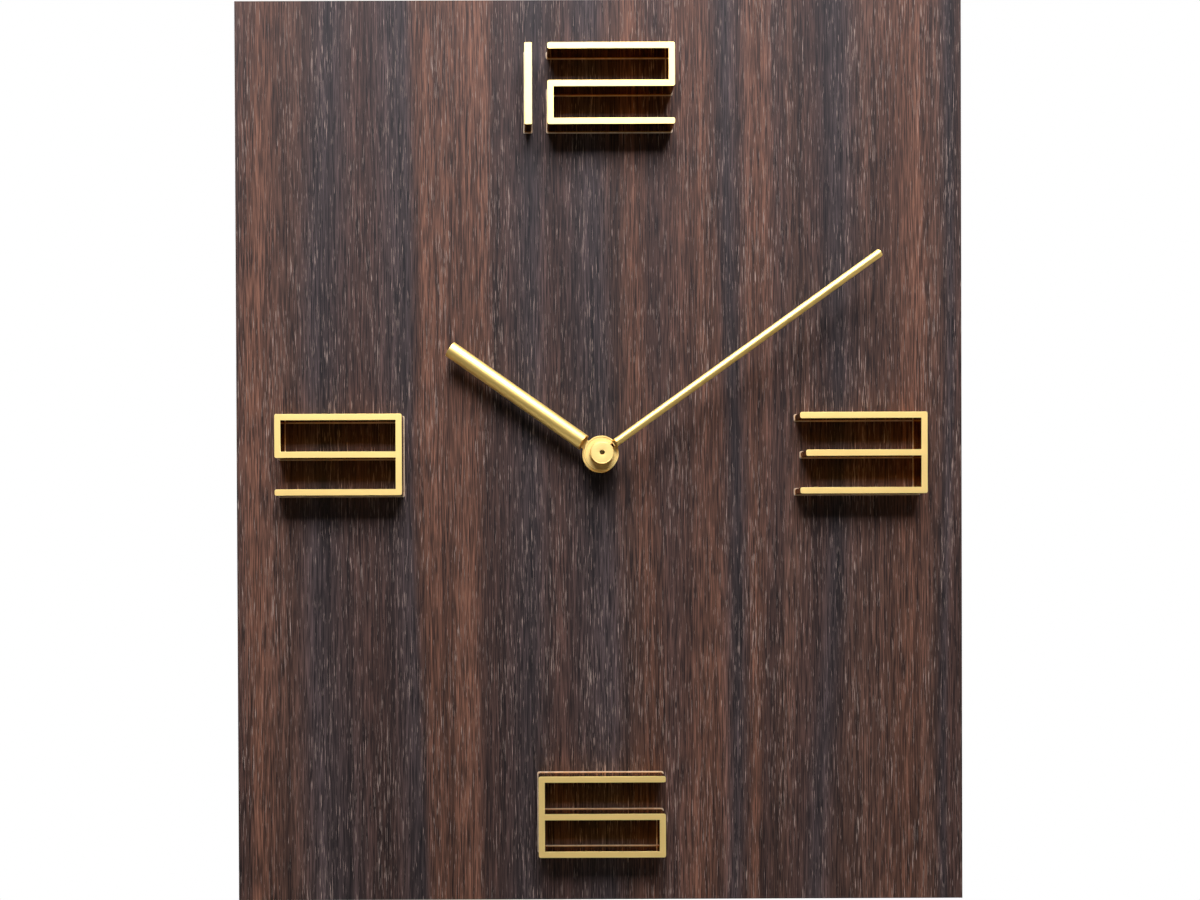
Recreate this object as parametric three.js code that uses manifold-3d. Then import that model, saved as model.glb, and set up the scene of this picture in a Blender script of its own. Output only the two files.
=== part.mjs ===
// Quartz wall clock: a veneered board with raised numerals, two tube hands and a battery movement.
// Lengths are in millimetres. Pieces are drawn as the viewer sees them: x to the right, y up and
// z out of the board, with zero on the hand axis at the front face. The last group stands the
// clock up on the wall, with the origin on the rear face of the hanger plate.

import * as THREE from 'three';
import { mergeVertices } from 'three/addons/utils/BufferGeometryUtils.js';
import Module from 'manifold-3d';

const wasm = await Module();
wasm.setup();

// Fits shared by all pieces
const seam = 0.05;         // glued or clamped faces
const pressGap = 0.1;      // pressed bores
const runningGap = 0.25;   // turning bores
const clearance = 0.4;     // moving pieces passing each other
const overrun = 1;         // how far a cutting tool runs past a face
const weld = 0.0001;

// Steps round a circle, and on a corner
const fineSteps = 36;
const roundSteps = 20;
const smallSteps = 8;
const cornerSteps = 3;

const board = {
  width: 300, height: 372, thickness: 20, veneer: 0.6, edgeBand: 0.8, web: 3,
  axisDrop: 2.2, pocketRoom: 3.5, pocketCorner: 6,
};
const hangerBlock = { width: 110, height: 46, depth: 14 };

const numeral = {
  width: 51.6, height: 33, stroke: 2.5, depth: 9, corner: 0.8, barWidth: 3, figureGap: 6.3,
  middleBarInset: 2.4, tape: 0.3, tapeBorder: 0.3,
  topMargin: 21.9, bottomMargin: 19.9, sideMargin: 17.7,
};

const hourHand = {
  degrees: 305.2, reach: 74.9, tube: 6.6, wall: 0.4, tipWall: 0.8, start: 7.7, mouthSlant: 1.5,
  discRadius: 7.35, disc: 0.6, discRise: 4.2, axisRise: 6, tongueWidth: 4, tongueReach: 16,
  colletRadius: 3.8, collet: 1.6,
};

const minuteHand = {
  degrees: 54.5, reach: 137.2, tube: 3.3, wall: 0.35, tipWall: 0.6, start: 5.9, mouthSlant: 1.2,
  discRadius: 7.05, disc: 0.6, discRise: 10.5, tubeGap: 0.2, tongueWidth: 1.7, tongue: 0.5,
  tongueDrop: 0.5, tongueReach: 13, rampStart: 5.05, rampEnd: 5.75, colletRadius: 3, collet: 1.9,
};

const handNut = { radius: 4.75, height: 3.2, lip: 0.6, eye: 0.85, chamfer: 0.3 };
const dialWasher = { radius: 7, thickness: 0.5 };
const fixingNut = { acrossFlats: 12, thickness: 2.2 };
const rubberWasher = { radius: 8.5, thickness: 0.6 };
const bush = { radius: 3.9, flangeRadius: 5.4, flange: 0.5, rise: 3.2 };

const battery = { diameter: 14.2, length: 50.5, nubRadius: 2.65, nub: 1.2, edge: 0.6 };

const housing = {
  wall: 1.2, corner: 3, lip: 0.8, lipHeight: 2, lipGap: 0.2, bayWall: 1, bayRoom: 0.8, contactRoom: 1.3,
  batteryRecess: 0.3, bossRadius: 1.4, socketRadius: 0.5, socketDepth: 1.4, pillarRadius: 1.3,
  spigotRadius: 0.6, postRadius: 0.7, wellFloor: 1,
};

const teeth = {
  rotorPinion: 8, intermediateWheel: 48, intermediatePinion: 10, secondsWheel: 50,
  secondsPinion: 8, thirdWheel: 60, thirdPinion: 8, centreWheel: 64,
  cannonPinion: 12, motionWheel: 36, motionPinion: 10, hourWheel: 40, knobPinion: 18,
};
const addendumShare = 0.8;
const dedendumShare = 1.15;
const tipShare = 0.22;
const rootShare = 0.6;

const train = {
  centreDistance: 10.2, rotorDistance: 7, motionDistance: 8.2,
  thirdAngle: 150, intermediateAngle: 45, rotorAngle: 20, motionAngle: -20, knobAngle: 15,
  frontRoom: 0.6, wheel: 0.9, layerGap: 0.8, overhang: 0.2, arborRadius: 0.45, pivotRadius: 0.3,
  pivot: 0.9, rim: 1, recess: 0.3, hubRadius: 1.6, bridge: 1, bridgeEye: 2.2, bridgeArm: 3.2,
};

const cannon = { radius: 1.7, bore: 0.7, spigotRadius: 1.3, rise: 13.4 };
const hourPipe = { radius: 2.6, rise: 6.6 };
const secondsArbor = { radius: 0.45, rise: 14.1 };
const magnet = { radius: 2.5, bore: 0.7, length: 2 };
const stator = { ringRadius: 4.5, bar: 3.6, leg: 3 };
const coil = { length: 15, flange: 0.8, flangeRadius: 4.4, windingRadius: 3.9, tube: 2.2, bore: 1.75 };
const core = { width: 3, thickness: 1 };
const knob = { radius: 5.5, thickness: 2.2, stem: 1.2, wellGap: 0.8, ribs: 12, rib: 0.35 };
const circuit = { width: 19, height: 8.4, thickness: 1, depth: 4.2, chipRadius: 2.2, chip: 1,
  crystalRadius: 1, crystal: 6, postRadius: 1.1 };
const contact = { thickness: 0.3, width: 5, wallGap: 0.3, spread: 9 };

const hanger = {
  width: 40, height: 26, thickness: 1.5, corner: 3, edgeDrop: 45, landing: 2.5, topMargin: 4,
  slot: 5, slotRun: 9, headHole: 10, recessDepth: 6, recessWidth: 16, screwSpread: 29,
};
const screw = { radius: 1.75, headRadius: 3.1, length: 12 };
const pad = { radius: 6, inset: 25 };

// Finishes
const finish = {
  veneer: { color: 0x4a3530, roughness: 0.45, metalness: 0 },
  core: { color: 0x9c7a55, roughness: 0.9, metalness: 0 },
  beech: { color: 0xc79a6b, roughness: 0.7, metalness: 0 },
  gold: { color: 0xe2bd55, roughness: 0.25, metalness: 1 },
  tape: { color: 0xd9d6cc, roughness: 0.6, metalness: 0 },
  brass: { color: 0xc9a35a, roughness: 0.35, metalness: 1 },
  steel: { color: 0xb8b8b8, roughness: 0.35, metalness: 1 },
  rubber: { color: 0x2a2a2a, roughness: 0.9, metalness: 0 },
  black: { color: 0x1b1b1c, roughness: 0.5, metalness: 0 },
  nylon: { color: 0xe9e6dc, roughness: 0.5, metalness: 0 },
  copper: { color: 0xb5622d, roughness: 0.4, metalness: 1 },
  board: { color: 0x7a4a22, roughness: 0.6, metalness: 0 },
  magnet: { color: 0x3b3b3d, roughness: 0.6, metalness: 0.4 },
  cell: { color: 0x32343a, roughness: 0.35, metalness: 0.6 },
  felt: { color: 0x3a332e, roughness: 1, metalness: 0 },
};

// Solids

function solid(geometry) {
  geometry.deleteAttribute('normal');
  geometry.deleteAttribute('uv');
  const merged = mergeVertices(geometry, weld);
  const corners = merged.index.array;
  const kept = [];
  for (let i = 0; i < corners.length; i += 3) {
    const [a, b, c] = corners.slice(i, i + 3);
    if (a !== b && b !== c && c !== a) kept.push(a, b, c);
  }
  const vertProperties = merged.attributes.position.array;
  return new wasm.Manifold(new wasm.Mesh({ numProp: 3, vertProperties, triVerts: Uint32Array.from(kept) }));
}

function piece(name, body, look) {
  const { vertProperties, triVerts } = body.getMesh();
  const geometry = new THREE.BufferGeometry();
  geometry.setAttribute('position', new THREE.BufferAttribute(vertProperties, 3));
  geometry.setIndex(new THREE.BufferAttribute(triVerts, 1));
  geometry.computeVertexNormals();
  const mesh = new THREE.Mesh(geometry, new THREE.MeshStandardMaterial(look));
  mesh.name = name;
  return mesh;
}

function plate(shape, zFrom, zTo) {
  const settings = { depth: zTo - zFrom, bevelEnabled: false, curveSegments: cornerSteps };
  return solid(new THREE.ExtrudeGeometry(shape, settings).translate(0, 0, zFrom));
}

// A profile of [radius, z] points, turned about the z axis
function turned(profile, steps = roundSteps) {
  const points = profile.map(([radius, z]) => new THREE.Vector2(radius, z));
  return solid(new THREE.LatheGeometry(points, steps).rotateX(Math.PI / 2));
}

function rod(radius, zFrom, zTo, steps = roundSteps) {
  return turned([[0, zFrom], [radius, zFrom], [radius, zTo], [0, zTo]], steps);
}

function ring(inner, outer, zFrom, zTo, steps = roundSteps) {
  return turned([[inner, zFrom], [outer, zFrom], [outer, zTo], [inner, zTo], [inner, zFrom]], steps);
}

function at(body, place) {
  return body.translate([place.x, place.y, 0]);
}

function rectangle(width, height, corner = 0, centre = new THREE.Vector2()) {
  const corners = [[-1, -1], [1, -1], [1, 1], [-1, 1]].map(([i, j]) =>
    new THREE.Vector2(centre.x + i * width / 2, centre.y + j * height / 2));
  return rounded(corners, corner);
}

// A closed outline whose outward corners are rounded
function rounded(corners, radius) {
  const turn = Math.sign(THREE.ShapeUtils.area(corners));
  const shape = new THREE.Shape();
  corners.forEach((corner, i) => {
    const back = corners.at(i - 1).clone().sub(corner).normalize();
    const on = corners[(i + 1) % corners.length].clone().sub(corner).normalize();
    const round = radius > 0 && turn * on.cross(back) > 0;
    const enter = round ? corner.clone().addScaledVector(back, radius) : corner;
    if (i === 0) shape.moveTo(enter.x, enter.y);
    else shape.lineTo(enter.x, enter.y);
    if (!round) return;
    const leave = corner.clone().addScaledVector(on, radius);
    shape.quadraticCurveTo(corner.x, corner.y, leave.x, leave.y);
  });
  shape.closePath();
  return shape;
}

// The outline of a bent strip that follows a line of points
function strip(points, thickness) {
  const near = [];
  const far = [];
  points.forEach((point, i) => {
    const before = point.clone().sub(points[Math.max(i - 1, 0)]);
    const after = points[Math.min(i + 1, points.length - 1)].clone().sub(point);
    const a = (i > 0 ? before : after).clone().normalize();
    const b = (i < points.length - 1 ? after : before).clone().normalize();
    const normal = new THREE.Vector2(-(a.y + b.y), a.x + b.x).normalize();
    const reach = thickness / 2 / normal.dot(new THREE.Vector2(-a.y, a.x));
    near.push(point.clone().addScaledVector(normal, reach));
    far.unshift(point.clone().addScaledVector(normal, -reach));
  });
  return new THREE.Shape([...near, ...far]);
}

// An arm with round ends from one place to another
function arm(from, to, radius, zFrom, zTo) {
  const along = to.clone().sub(from);
  const shape = new THREE.Shape();
  const side = Math.atan2(along.y, along.x) + Math.PI / 2;
  shape.absarc(from.x, from.y, radius, side, side + Math.PI, false);
  shape.absarc(to.x, to.y, radius, side + Math.PI, side + 2 * Math.PI, false);
  return plate(shape, zFrom, zTo);
}

function place(origin, reach, degrees) {
  const angle = THREE.MathUtils.degToRad(degrees);
  return new THREE.Vector2(origin.x + reach * Math.cos(angle), origin.y + reach * Math.sin(angle));
}

// Gears

function modulus(distance, first, second) {
  return 2 * distance / (first + second);
}

function tipRadius(count, size) {
  return size * (count / 2 + addendumShare);
}

function toothed(count, size, phase, zFrom, zTo) {
  const pitch = 2 * Math.PI / count;
  const root = size * (count / 2 - dedendumShare);
  const tip = tipRadius(count, size);
  const flanks = [[root, -rootShare], [tip, -tipShare], [tip, tipShare], [root, rootShare]];
  const points = [];
  for (let i = 0; i < count; i++) {
    for (const [radius, share] of flanks) {
      const angle = phase + (i + share / 2) * pitch;
      points.push(new THREE.Vector2(radius * Math.cos(angle), radius * Math.sin(angle)));
    }
  }
  return plate(new THREE.Shape(points), zFrom, zTo);
}

// The phase that sets a gear's gap against a tooth of the gear that drives it
function meshPhase(phase, drivingTeeth, drivenTeeth, direction) {
  const turn = (phase - direction) * drivingTeeth / drivenTeeth;
  return direction + Math.PI - turn - Math.PI / drivenTeeth;
}

function direction(from, to) {
  return Math.atan2(to.y - from.y, to.x - from.x);
}

// A wheel with a thinner web between its rim and its hub
function wheel(count, size, phase, front) {
  const back = front - train.wheel;
  const rimRadius = size * (count / 2 - dedendumShare) - train.rim;
  const web = ring(train.hubRadius, rimRadius, back - overrun, back + train.recess, 2 * smallSteps);
  return toothed(count, size, phase, back, front).subtract(web);
}

function arbor(rear, front, radius) {
  const { pivot, pivotRadius } = train;
  return turned([
    [0, rear - pivot], [pivotRadius, rear - pivot], [pivotRadius, rear], [radius, rear],
    [radius, front], [pivotRadius, front], [pivotRadius, front + pivot], [0, front + pivot],
  ], smallSteps);
}

// Places in plan

const size = {
  train: modulus(train.centreDistance, teeth.intermediatePinion, teeth.secondsWheel),
  third: modulus(train.centreDistance, teeth.secondsPinion, teeth.thirdWheel),
  centre: modulus(train.centreDistance, teeth.thirdPinion, teeth.centreWheel),
  rotor: modulus(train.rotorDistance, teeth.rotorPinion, teeth.intermediateWheel),
  motion: modulus(train.motionDistance, teeth.cannonPinion, teeth.motionWheel),
  hour: modulus(train.motionDistance, teeth.motionPinion, teeth.hourWheel),
};
const tip = {
  centre: tipRadius(teeth.centreWheel, size.centre),
  third: tipRadius(teeth.thirdWheel, size.third),
  motion: tipRadius(teeth.motionWheel, size.motion),
};

const axis = { hands: new THREE.Vector2(0, 0) };
axis.third = place(axis.hands, train.centreDistance, train.thirdAngle);
axis.intermediate = place(axis.hands, train.centreDistance, train.intermediateAngle);
axis.rotor = place(axis.intermediate, train.rotorDistance, train.rotorAngle);
axis.motion = place(axis.hands, train.motionDistance, train.motionAngle);
const knobDistance = size.motion * (teeth.motionWheel + teeth.knobPinion) / 2;
axis.knob = place(axis.motion, knobDistance, train.knobAngle);

const pillarReach = housing.pillarRadius + clearance;
const pillarDegrees = { left: 150, upper: 62, lower: 222, right: 60 };
const pillars = [
  place(axis.third, tip.third + pillarReach, pillarDegrees.left),
  place(axis.third, tip.third + pillarReach, pillarDegrees.upper),
  place(axis.hands, tip.centre + pillarReach, pillarDegrees.lower),
  place(axis.rotor, stator.ringRadius + pillarReach, pillarDegrees.right),
];
const [leftPillar, upperPillar, lowerPillar, rightPillar] = pillars;

const coilShiftShare = 0.33;
const coilCentre = new THREE.Vector2(
  axis.rotor.x - coilShiftShare * train.rotorDistance,
  rightPillar.y + train.bridgeEye + clearance + coil.flangeRadius,
);

// The bay for the cell lies below the wheels, and the housing closes round both.
const wheelFloor = Math.max(tip.centre, tip.motion - axis.motion.y, housing.pillarRadius - lowerPillar.y);
const bay = { top: -wheelFloor - clearance - housing.bayWall };
bay.middle = bay.top - housing.bayRoom - battery.diameter / 2;
bay.bottom = bay.middle - battery.diameter / 2 - housing.bayRoom;
const inner = {
  halfWidth: battery.length / 2 + housing.contactRoom,
  top: coilCentre.y + coil.flangeRadius + clearance + contact.thickness + contact.wallGap,
  bottom: bay.bottom,
};
inner.middle = new THREE.Vector2(0, (inner.top + inner.bottom) / 2);
inner.width = 2 * inner.halfWidth;
inner.height = inner.top - inner.bottom;

// Levels, from the front to the wall

const level = { pocket: -board.web, boardBack: -board.thickness };
level.caseFront = level.pocket - rubberWasher.thickness;
level.caseInner = level.caseFront - housing.wall;
const layer = i => level.caseInner - train.frontRoom - i * (train.wheel + train.layerGap);
level.hourWheel = layer(0);
level.motionWheel = layer(1);
level.centreWheel = layer(2);
level.thirdWheel = layer(3);
level.secondsWheel = layer(4);
level.intermediateWheel = layer(5);
level.bridgeFront = layer(6);
level.bridgeBack = level.bridgeFront - train.bridge;
const batteryDepth = housing.batteryRecess + battery.diameter + seam + housing.batteryRecess;
const trainDepth = level.caseInner - level.bridgeBack + clearance + housing.wall;
level.caseBack = level.caseInner - Math.max(batteryDepth, trainDepth);
level.caseFloor = level.caseBack + housing.wall;
level.battery = level.caseBack + housing.batteryRecess + battery.diameter / 2;
level.wall = level.boardBack - hanger.thickness;

const arborRear = level.bridgeFront + train.overhang;
const arborFront = level.centreWheel + train.overhang + clearance;

// Board

const boardCentre = new THREE.Vector2(0, board.axisDrop);
const boardTop = boardCentre.y + board.height / 2;
const boardBottom = boardCentre.y - board.height / 2;
const hangerFace = boardTop - hanger.edgeDrop;
const slotEnd = new THREE.Vector2(0, hangerFace - hanger.landing - hanger.slot / 2);
const headHole = new THREE.Vector2(0, slotEnd.y - hanger.slotRun);
const hangerCentre = new THREE.Vector2(0, hangerFace + hanger.topMargin - hanger.height / 2);
const screwPlaces = [-1, 1].map(side => new THREE.Vector2(side * hanger.screwSpread / 2, hangerCentre.y));

function pocket(zTo) {
  const width = inner.width + 2 * (housing.wall + board.pocketRoom);
  const height = inner.height + 2 * (housing.wall + board.pocketRoom);
  const outline = rectangle(width, height, board.pocketCorner, inner.middle);
  return plate(outline, level.boardBack - overrun, zTo);
}

const recessTop = slotEnd.y + hanger.slot;
const recessBottom = headHole.y - hanger.headHole / 2;
const recessCentre = new THREE.Vector2(0, (recessTop + recessBottom) / 2);

function keyholeRecess() {
  const outline = rectangle(hanger.recessWidth, recessTop - recessBottom, hanger.corner, recessCentre);
  return plate(outline, level.boardBack - overrun, level.boardBack + hanger.recessDepth);
}

function pilotHoles() {
  const end = level.wall + screw.length + clearance;
  const hole = rod(screw.radius + runningGap, level.wall - overrun, end, smallSteps);
  return screwPlaces.map(spot => at(hole, spot));
}

function makeBoard() {
  const frontSkin = -board.veneer - seam;
  const backSkin = level.boardBack + board.veneer + seam;
  const coreWidth = board.width - 2 * (board.edgeBand + seam);
  const coreHeight = board.height - 2 * (board.edgeBand + seam);
  const axisBore = rod(bush.radius + clearance, level.pocket - overrun, overrun);

  const blockFront = backSkin + hangerBlock.depth;
  const blockOutline = room =>
    rectangle(hangerBlock.width + 2 * room, hangerBlock.height + 2 * room, 0, recessCentre);

  const corePlate = plate(rectangle(coreWidth, coreHeight, 0, boardCentre), backSkin, frontSkin)
    .subtract(pocket(level.pocket))
    .subtract(axisBore)
    .subtract(plate(blockOutline(seam), level.boardBack - overrun, blockFront + seam));
  let block = plate(blockOutline(0), backSkin, blockFront).subtract(keyholeRecess());
  for (const hole of pilotHoles()) block = block.subtract(hole);

  const face = rectangle(board.width, board.height, 0, boardCentre);
  const frontVeneer = plate(face, -board.veneer, 0).subtract(axisBore);
  let backVeneer = plate(face, level.boardBack, level.boardBack + board.veneer);
  backVeneer = backVeneer.subtract(pocket(0)).subtract(keyholeRecess());
  for (const hole of pilotHoles()) backVeneer = backVeneer.subtract(hole);

  const band = (name, width, height, x, y) => piece(name,
    plate(rectangle(width, height, 0, new THREE.Vector2(x, y)), backSkin, frontSkin), finish.veneer);
  const sideX = (board.width - board.edgeBand) / 2;
  const endY = (board.height - board.edgeBand) / 2;
  return [
    piece('board_core', corePlate, finish.core),
    piece('hanger_block', block, finish.beech),
    piece('front_veneer', frontVeneer, finish.veneer),
    piece('back_veneer', backVeneer, finish.veneer),
    band('edge_band_left', board.edgeBand, board.height, -sideX, boardCentre.y),
    band('edge_band_right', board.edgeBand, board.height, sideX, boardCentre.y),
    band('edge_band_top', coreWidth, board.edgeBand, 0, boardCentre.y + endY),
    band('edge_band_bottom', coreWidth, board.edgeBand, 0, boardCentre.y - endY),
  ];
}

// Numerals: squared strokes with rounded outward corners, each on a layer of tape

function numeralOutline(figure, border) {
  const right = numeral.width / 2 + border;
  const top = numeral.height / 2 + border;
  const stroke = numeral.stroke + 2 * border;
  const bar = stroke / 2;
  const left = -right;
  const bottom = -top;
  const inset = left + numeral.middleBarInset;
  const points = list => list.map(([x, y]) => new THREE.Vector2(x, y));
  if (figure === 'one') {
    const outline = rectangle(numeral.barWidth + 2 * border, 2 * top, numeral.corner / 2);
    return outline;
  }
  if (figure === 'two') {
    return rounded(points([
      [left, top], [right, top], [right, -bar], [left + stroke, -bar], [left + stroke, bottom + stroke],
      [right, bottom + stroke], [right, bottom], [left, bottom], [left, bar], [right - stroke, bar],
      [right - stroke, top - stroke], [left, top - stroke],
    ]), numeral.corner);
  }
  if (figure === 'three') {
    return rounded(points([
      [left, top], [right, top], [right, bottom], [left, bottom], [left, bottom + stroke],
      [right - stroke, bottom + stroke], [right - stroke, -bar], [inset, -bar], [inset, bar],
      [right - stroke, bar], [right - stroke, top - stroke], [left, top - stroke],
    ]), numeral.corner);
  }
  const outline = rounded(points([
    [left, top], [right, top], [right, top - stroke], [left + stroke, top - stroke],
    [left + stroke, bar], [right, bar], [right, bottom], [left, bottom],
  ]), numeral.corner);
  outline.holes.push(new THREE.Path(points([
    [left + stroke, -bar], [left + stroke, bottom + stroke], [right - stroke, bottom + stroke],
    [right - stroke, -bar],
  ])));
  return outline;
}

function makeNumeral(name, figure, centre, turn) {
  const figureBody = plate(numeralOutline(figure, 0), numeral.tape + 2 * seam, numeral.depth);
  const tapeBody = plate(numeralOutline(figure, numeral.tapeBorder), seam, numeral.tape + seam);
  const group = new THREE.Group();
  group.add(
    piece(`numeral_${name}`, figureBody, finish.gold),
    piece(`numeral_${name}_tape`, tapeBody, finish.tape),
  );
  group.position.set(centre.x, centre.y, 0);
  group.rotation.z = turn;
  return group;
}

function makeNumerals() {
  const twelveWidth = numeral.barWidth + numeral.figureGap + numeral.width;
  const oneX = (numeral.barWidth - twelveWidth) / 2;
  const twoX = (twelveWidth - numeral.width) / 2;
  const twelveY = boardTop - numeral.topMargin - numeral.height / 2;
  const sixY = boardBottom + numeral.bottomMargin + numeral.height / 2;
  const sideX = (board.width - numeral.width) / 2 - numeral.sideMargin;
  return [
    makeNumeral('12_one', 'one', new THREE.Vector2(oneX, twelveY), 0),
    makeNumeral('12_two', 'two', new THREE.Vector2(twoX, twelveY), 0),
    makeNumeral('3', 'three', new THREE.Vector2(sideX, 0), 0),
    makeNumeral('6', 'six', new THREE.Vector2(0, sixY), 0),
    makeNumeral('9', 'six', new THREE.Vector2(-sideX, 0), Math.PI),
  ];
}

// Hands: drawn along x, then turned to their hour and minute

// A side view in the plane of the hand axis and the hand, given the hand's width
function standing(outline, width) {
  const settings = { depth: width, bevelEnabled: false };
  return solid(new THREE.ExtrudeGeometry(outline, settings).translate(0, 0, -width / 2).rotateX(Math.PI / 2));
}

function handTube(hand, axisRise) {
  const radius = hand.tube / 2;
  const bore = radius - hand.wall;
  const long = (r, from, to) => solid(new THREE.CylinderGeometry(r, r, to - from, roundSteps)
    .rotateZ(Math.PI / 2).translate((from + to) / 2, 0, axisRise));
  const outer = long(radius, hand.start, hand.reach);
  const hollow = long(bore, hand.start - overrun, hand.reach - hand.tipWall);
  const low = axisRise - radius - overrun;
  const high = axisRise + radius + overrun;
  const slope = hand.mouthSlant / hand.tube;
  const mouth = new THREE.Shape([
    new THREE.Vector2(hand.start - overrun, low),
    new THREE.Vector2(hand.start - slope * overrun, low),
    new THREE.Vector2(hand.start + slope * (hand.tube + overrun), high),
    new THREE.Vector2(hand.start - overrun, high),
  ]);
  return outer.subtract(hollow).subtract(standing(mouth, hand.tube + 2 * overrun));
}

function handGroup(hand) {
  const group = new THREE.Group();
  group.rotation.z = THREE.MathUtils.degToRad(90 - hand.degrees);
  return group;
}

function makeHourHand() {
  const { discRise, disc, discRadius, colletRadius, collet } = hourHand;
  const middle = discRise + disc / 2;
  const tongue = strip([
    new THREE.Vector2(colletRadius, middle), new THREE.Vector2(hourHand.tongueReach, middle),
  ], disc);
  const bore = rod(hourPipe.radius + pressGap, discRise - overrun, discRise + disc + collet + overrun);
  const hub = rod(discRadius, discRise, discRise + disc, fineSteps)
    .add(rod(colletRadius, discRise, discRise + disc + collet))
    .add(standing(tongue, hourHand.tongueWidth))
    .subtract(bore);
  const group = handGroup(hourHand);
  group.add(
    piece('hour_hand_hub', hub, finish.gold),
    piece('hour_hand_tube', handTube(hourHand, hourHand.axisRise), finish.gold),
  );
  return group;
}

const minuteDiscTop = minuteHand.discRise + minuteHand.disc;

function makeMinuteHand() {
  const { discRise, disc, discRadius, colletRadius, collet, tongueDrop, tongue } = minuteHand;
  const axisRise = minuteDiscTop + minuteHand.tubeGap + minuteHand.tube / 2;
  const discLevel = minuteDiscTop - tongue / 2;
  const tongueLevel = axisRise - tongueDrop;
  const bent = strip([
    new THREE.Vector2(colletRadius, discLevel), new THREE.Vector2(minuteHand.rampStart, discLevel),
    new THREE.Vector2(minuteHand.rampEnd, tongueLevel), new THREE.Vector2(minuteHand.tongueReach, tongueLevel),
  ], tongue);
  const bore = rod(cannon.radius + pressGap, discRise - collet - overrun, minuteDiscTop + overrun);
  const hub = rod(discRadius, discRise, minuteDiscTop, fineSteps)
    .add(rod(colletRadius, discRise - collet, discRise))
    .add(standing(bent, minuteHand.tongueWidth))
    .subtract(bore);
  const group = handGroup(minuteHand);
  group.add(
    piece('minute_hand_hub', hub, finish.gold),
    piece('minute_hand_tube', handTube(minuteHand, axisRise), finish.gold),
  );
  return group;
}

// Pieces on the hand axis

function makeHandNut() {
  const base = minuteDiscTop + seam;
  const top = base + handNut.height;
  const { radius, chamfer, lip, eye } = handNut;
  const thread = cannon.radius + runningGap;
  return piece('hand_nut', turned([
    [thread, base], [radius, base], [radius, top - chamfer], [radius - chamfer, top], [eye, top],
    [eye, top - lip], [thread, top - lip], [thread, base],
  ], fineSteps), finish.gold);
}

function makeDialFixing() {
  const bore = bush.radius + runningGap;
  const hexRadius = fixingNut.acrossFlats / 2 / Math.cos(Math.PI / 6);
  const nutFront = dialWasher.thickness + 2 * seam + fixingNut.thickness;
  const nutBack = dialWasher.thickness + 2 * seam;
  const flangeFront = level.caseInner + bush.flange + seam;
  const threaded = turned([
    [hourPipe.radius + runningGap, level.caseInner + seam], [bush.flangeRadius, level.caseInner + seam],
    [bush.flangeRadius, flangeFront], [bush.radius, flangeFront], [bush.radius, bush.rise],
    [hourPipe.radius + runningGap, bush.rise], [hourPipe.radius + runningGap, level.caseInner + seam],
  ]);
  return [
    piece('dial_washer', ring(bore, dialWasher.radius, seam, dialWasher.thickness + seam), finish.brass),
    piece('fixing_nut', rod(hexRadius, nutBack, nutFront, 6).subtract(rod(bore, 0, nutFront + overrun)),
      finish.brass),
    piece('threaded_bush', threaded, finish.brass),
    piece('rubber_washer', ring(bush.radius + clearance, rubberWasher.radius,
      level.caseFront + seam, level.pocket - seam), finish.rubber),
  ];
}

// Going train and motion work: each piece is drawn on its own axis

const pinionFront = front => front + train.overhang;
const pinionBack = front => front - train.wheel - train.overhang;

const phases = { secondsWheel: 0, cannonPinion: 0 };
phases.intermediatePinion = meshPhase(phases.secondsWheel, teeth.secondsWheel, teeth.intermediatePinion,
  direction(axis.hands, axis.intermediate));
phases.rotorPinion = meshPhase(phases.secondsWheel, teeth.intermediateWheel, teeth.rotorPinion,
  direction(axis.intermediate, axis.rotor));
phases.thirdWheel = meshPhase(phases.secondsWheel, teeth.secondsPinion, teeth.thirdWheel,
  direction(axis.hands, axis.third));
phases.centreWheel = meshPhase(phases.secondsWheel, teeth.thirdPinion, teeth.centreWheel,
  direction(axis.third, axis.hands));
phases.motionWheel = meshPhase(phases.cannonPinion, teeth.cannonPinion, teeth.motionWheel,
  direction(axis.hands, axis.motion));
phases.hourWheel = meshPhase(0, teeth.motionPinion, teeth.hourWheel, direction(axis.motion, axis.hands));
phases.knobPinion = meshPhase(phases.motionWheel, teeth.motionWheel, teeth.knobPinion,
  direction(axis.motion, axis.knob));

function onAxis(mesh, spot) {
  mesh.position.set(spot.x, spot.y, 0);
  return mesh;
}

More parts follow.
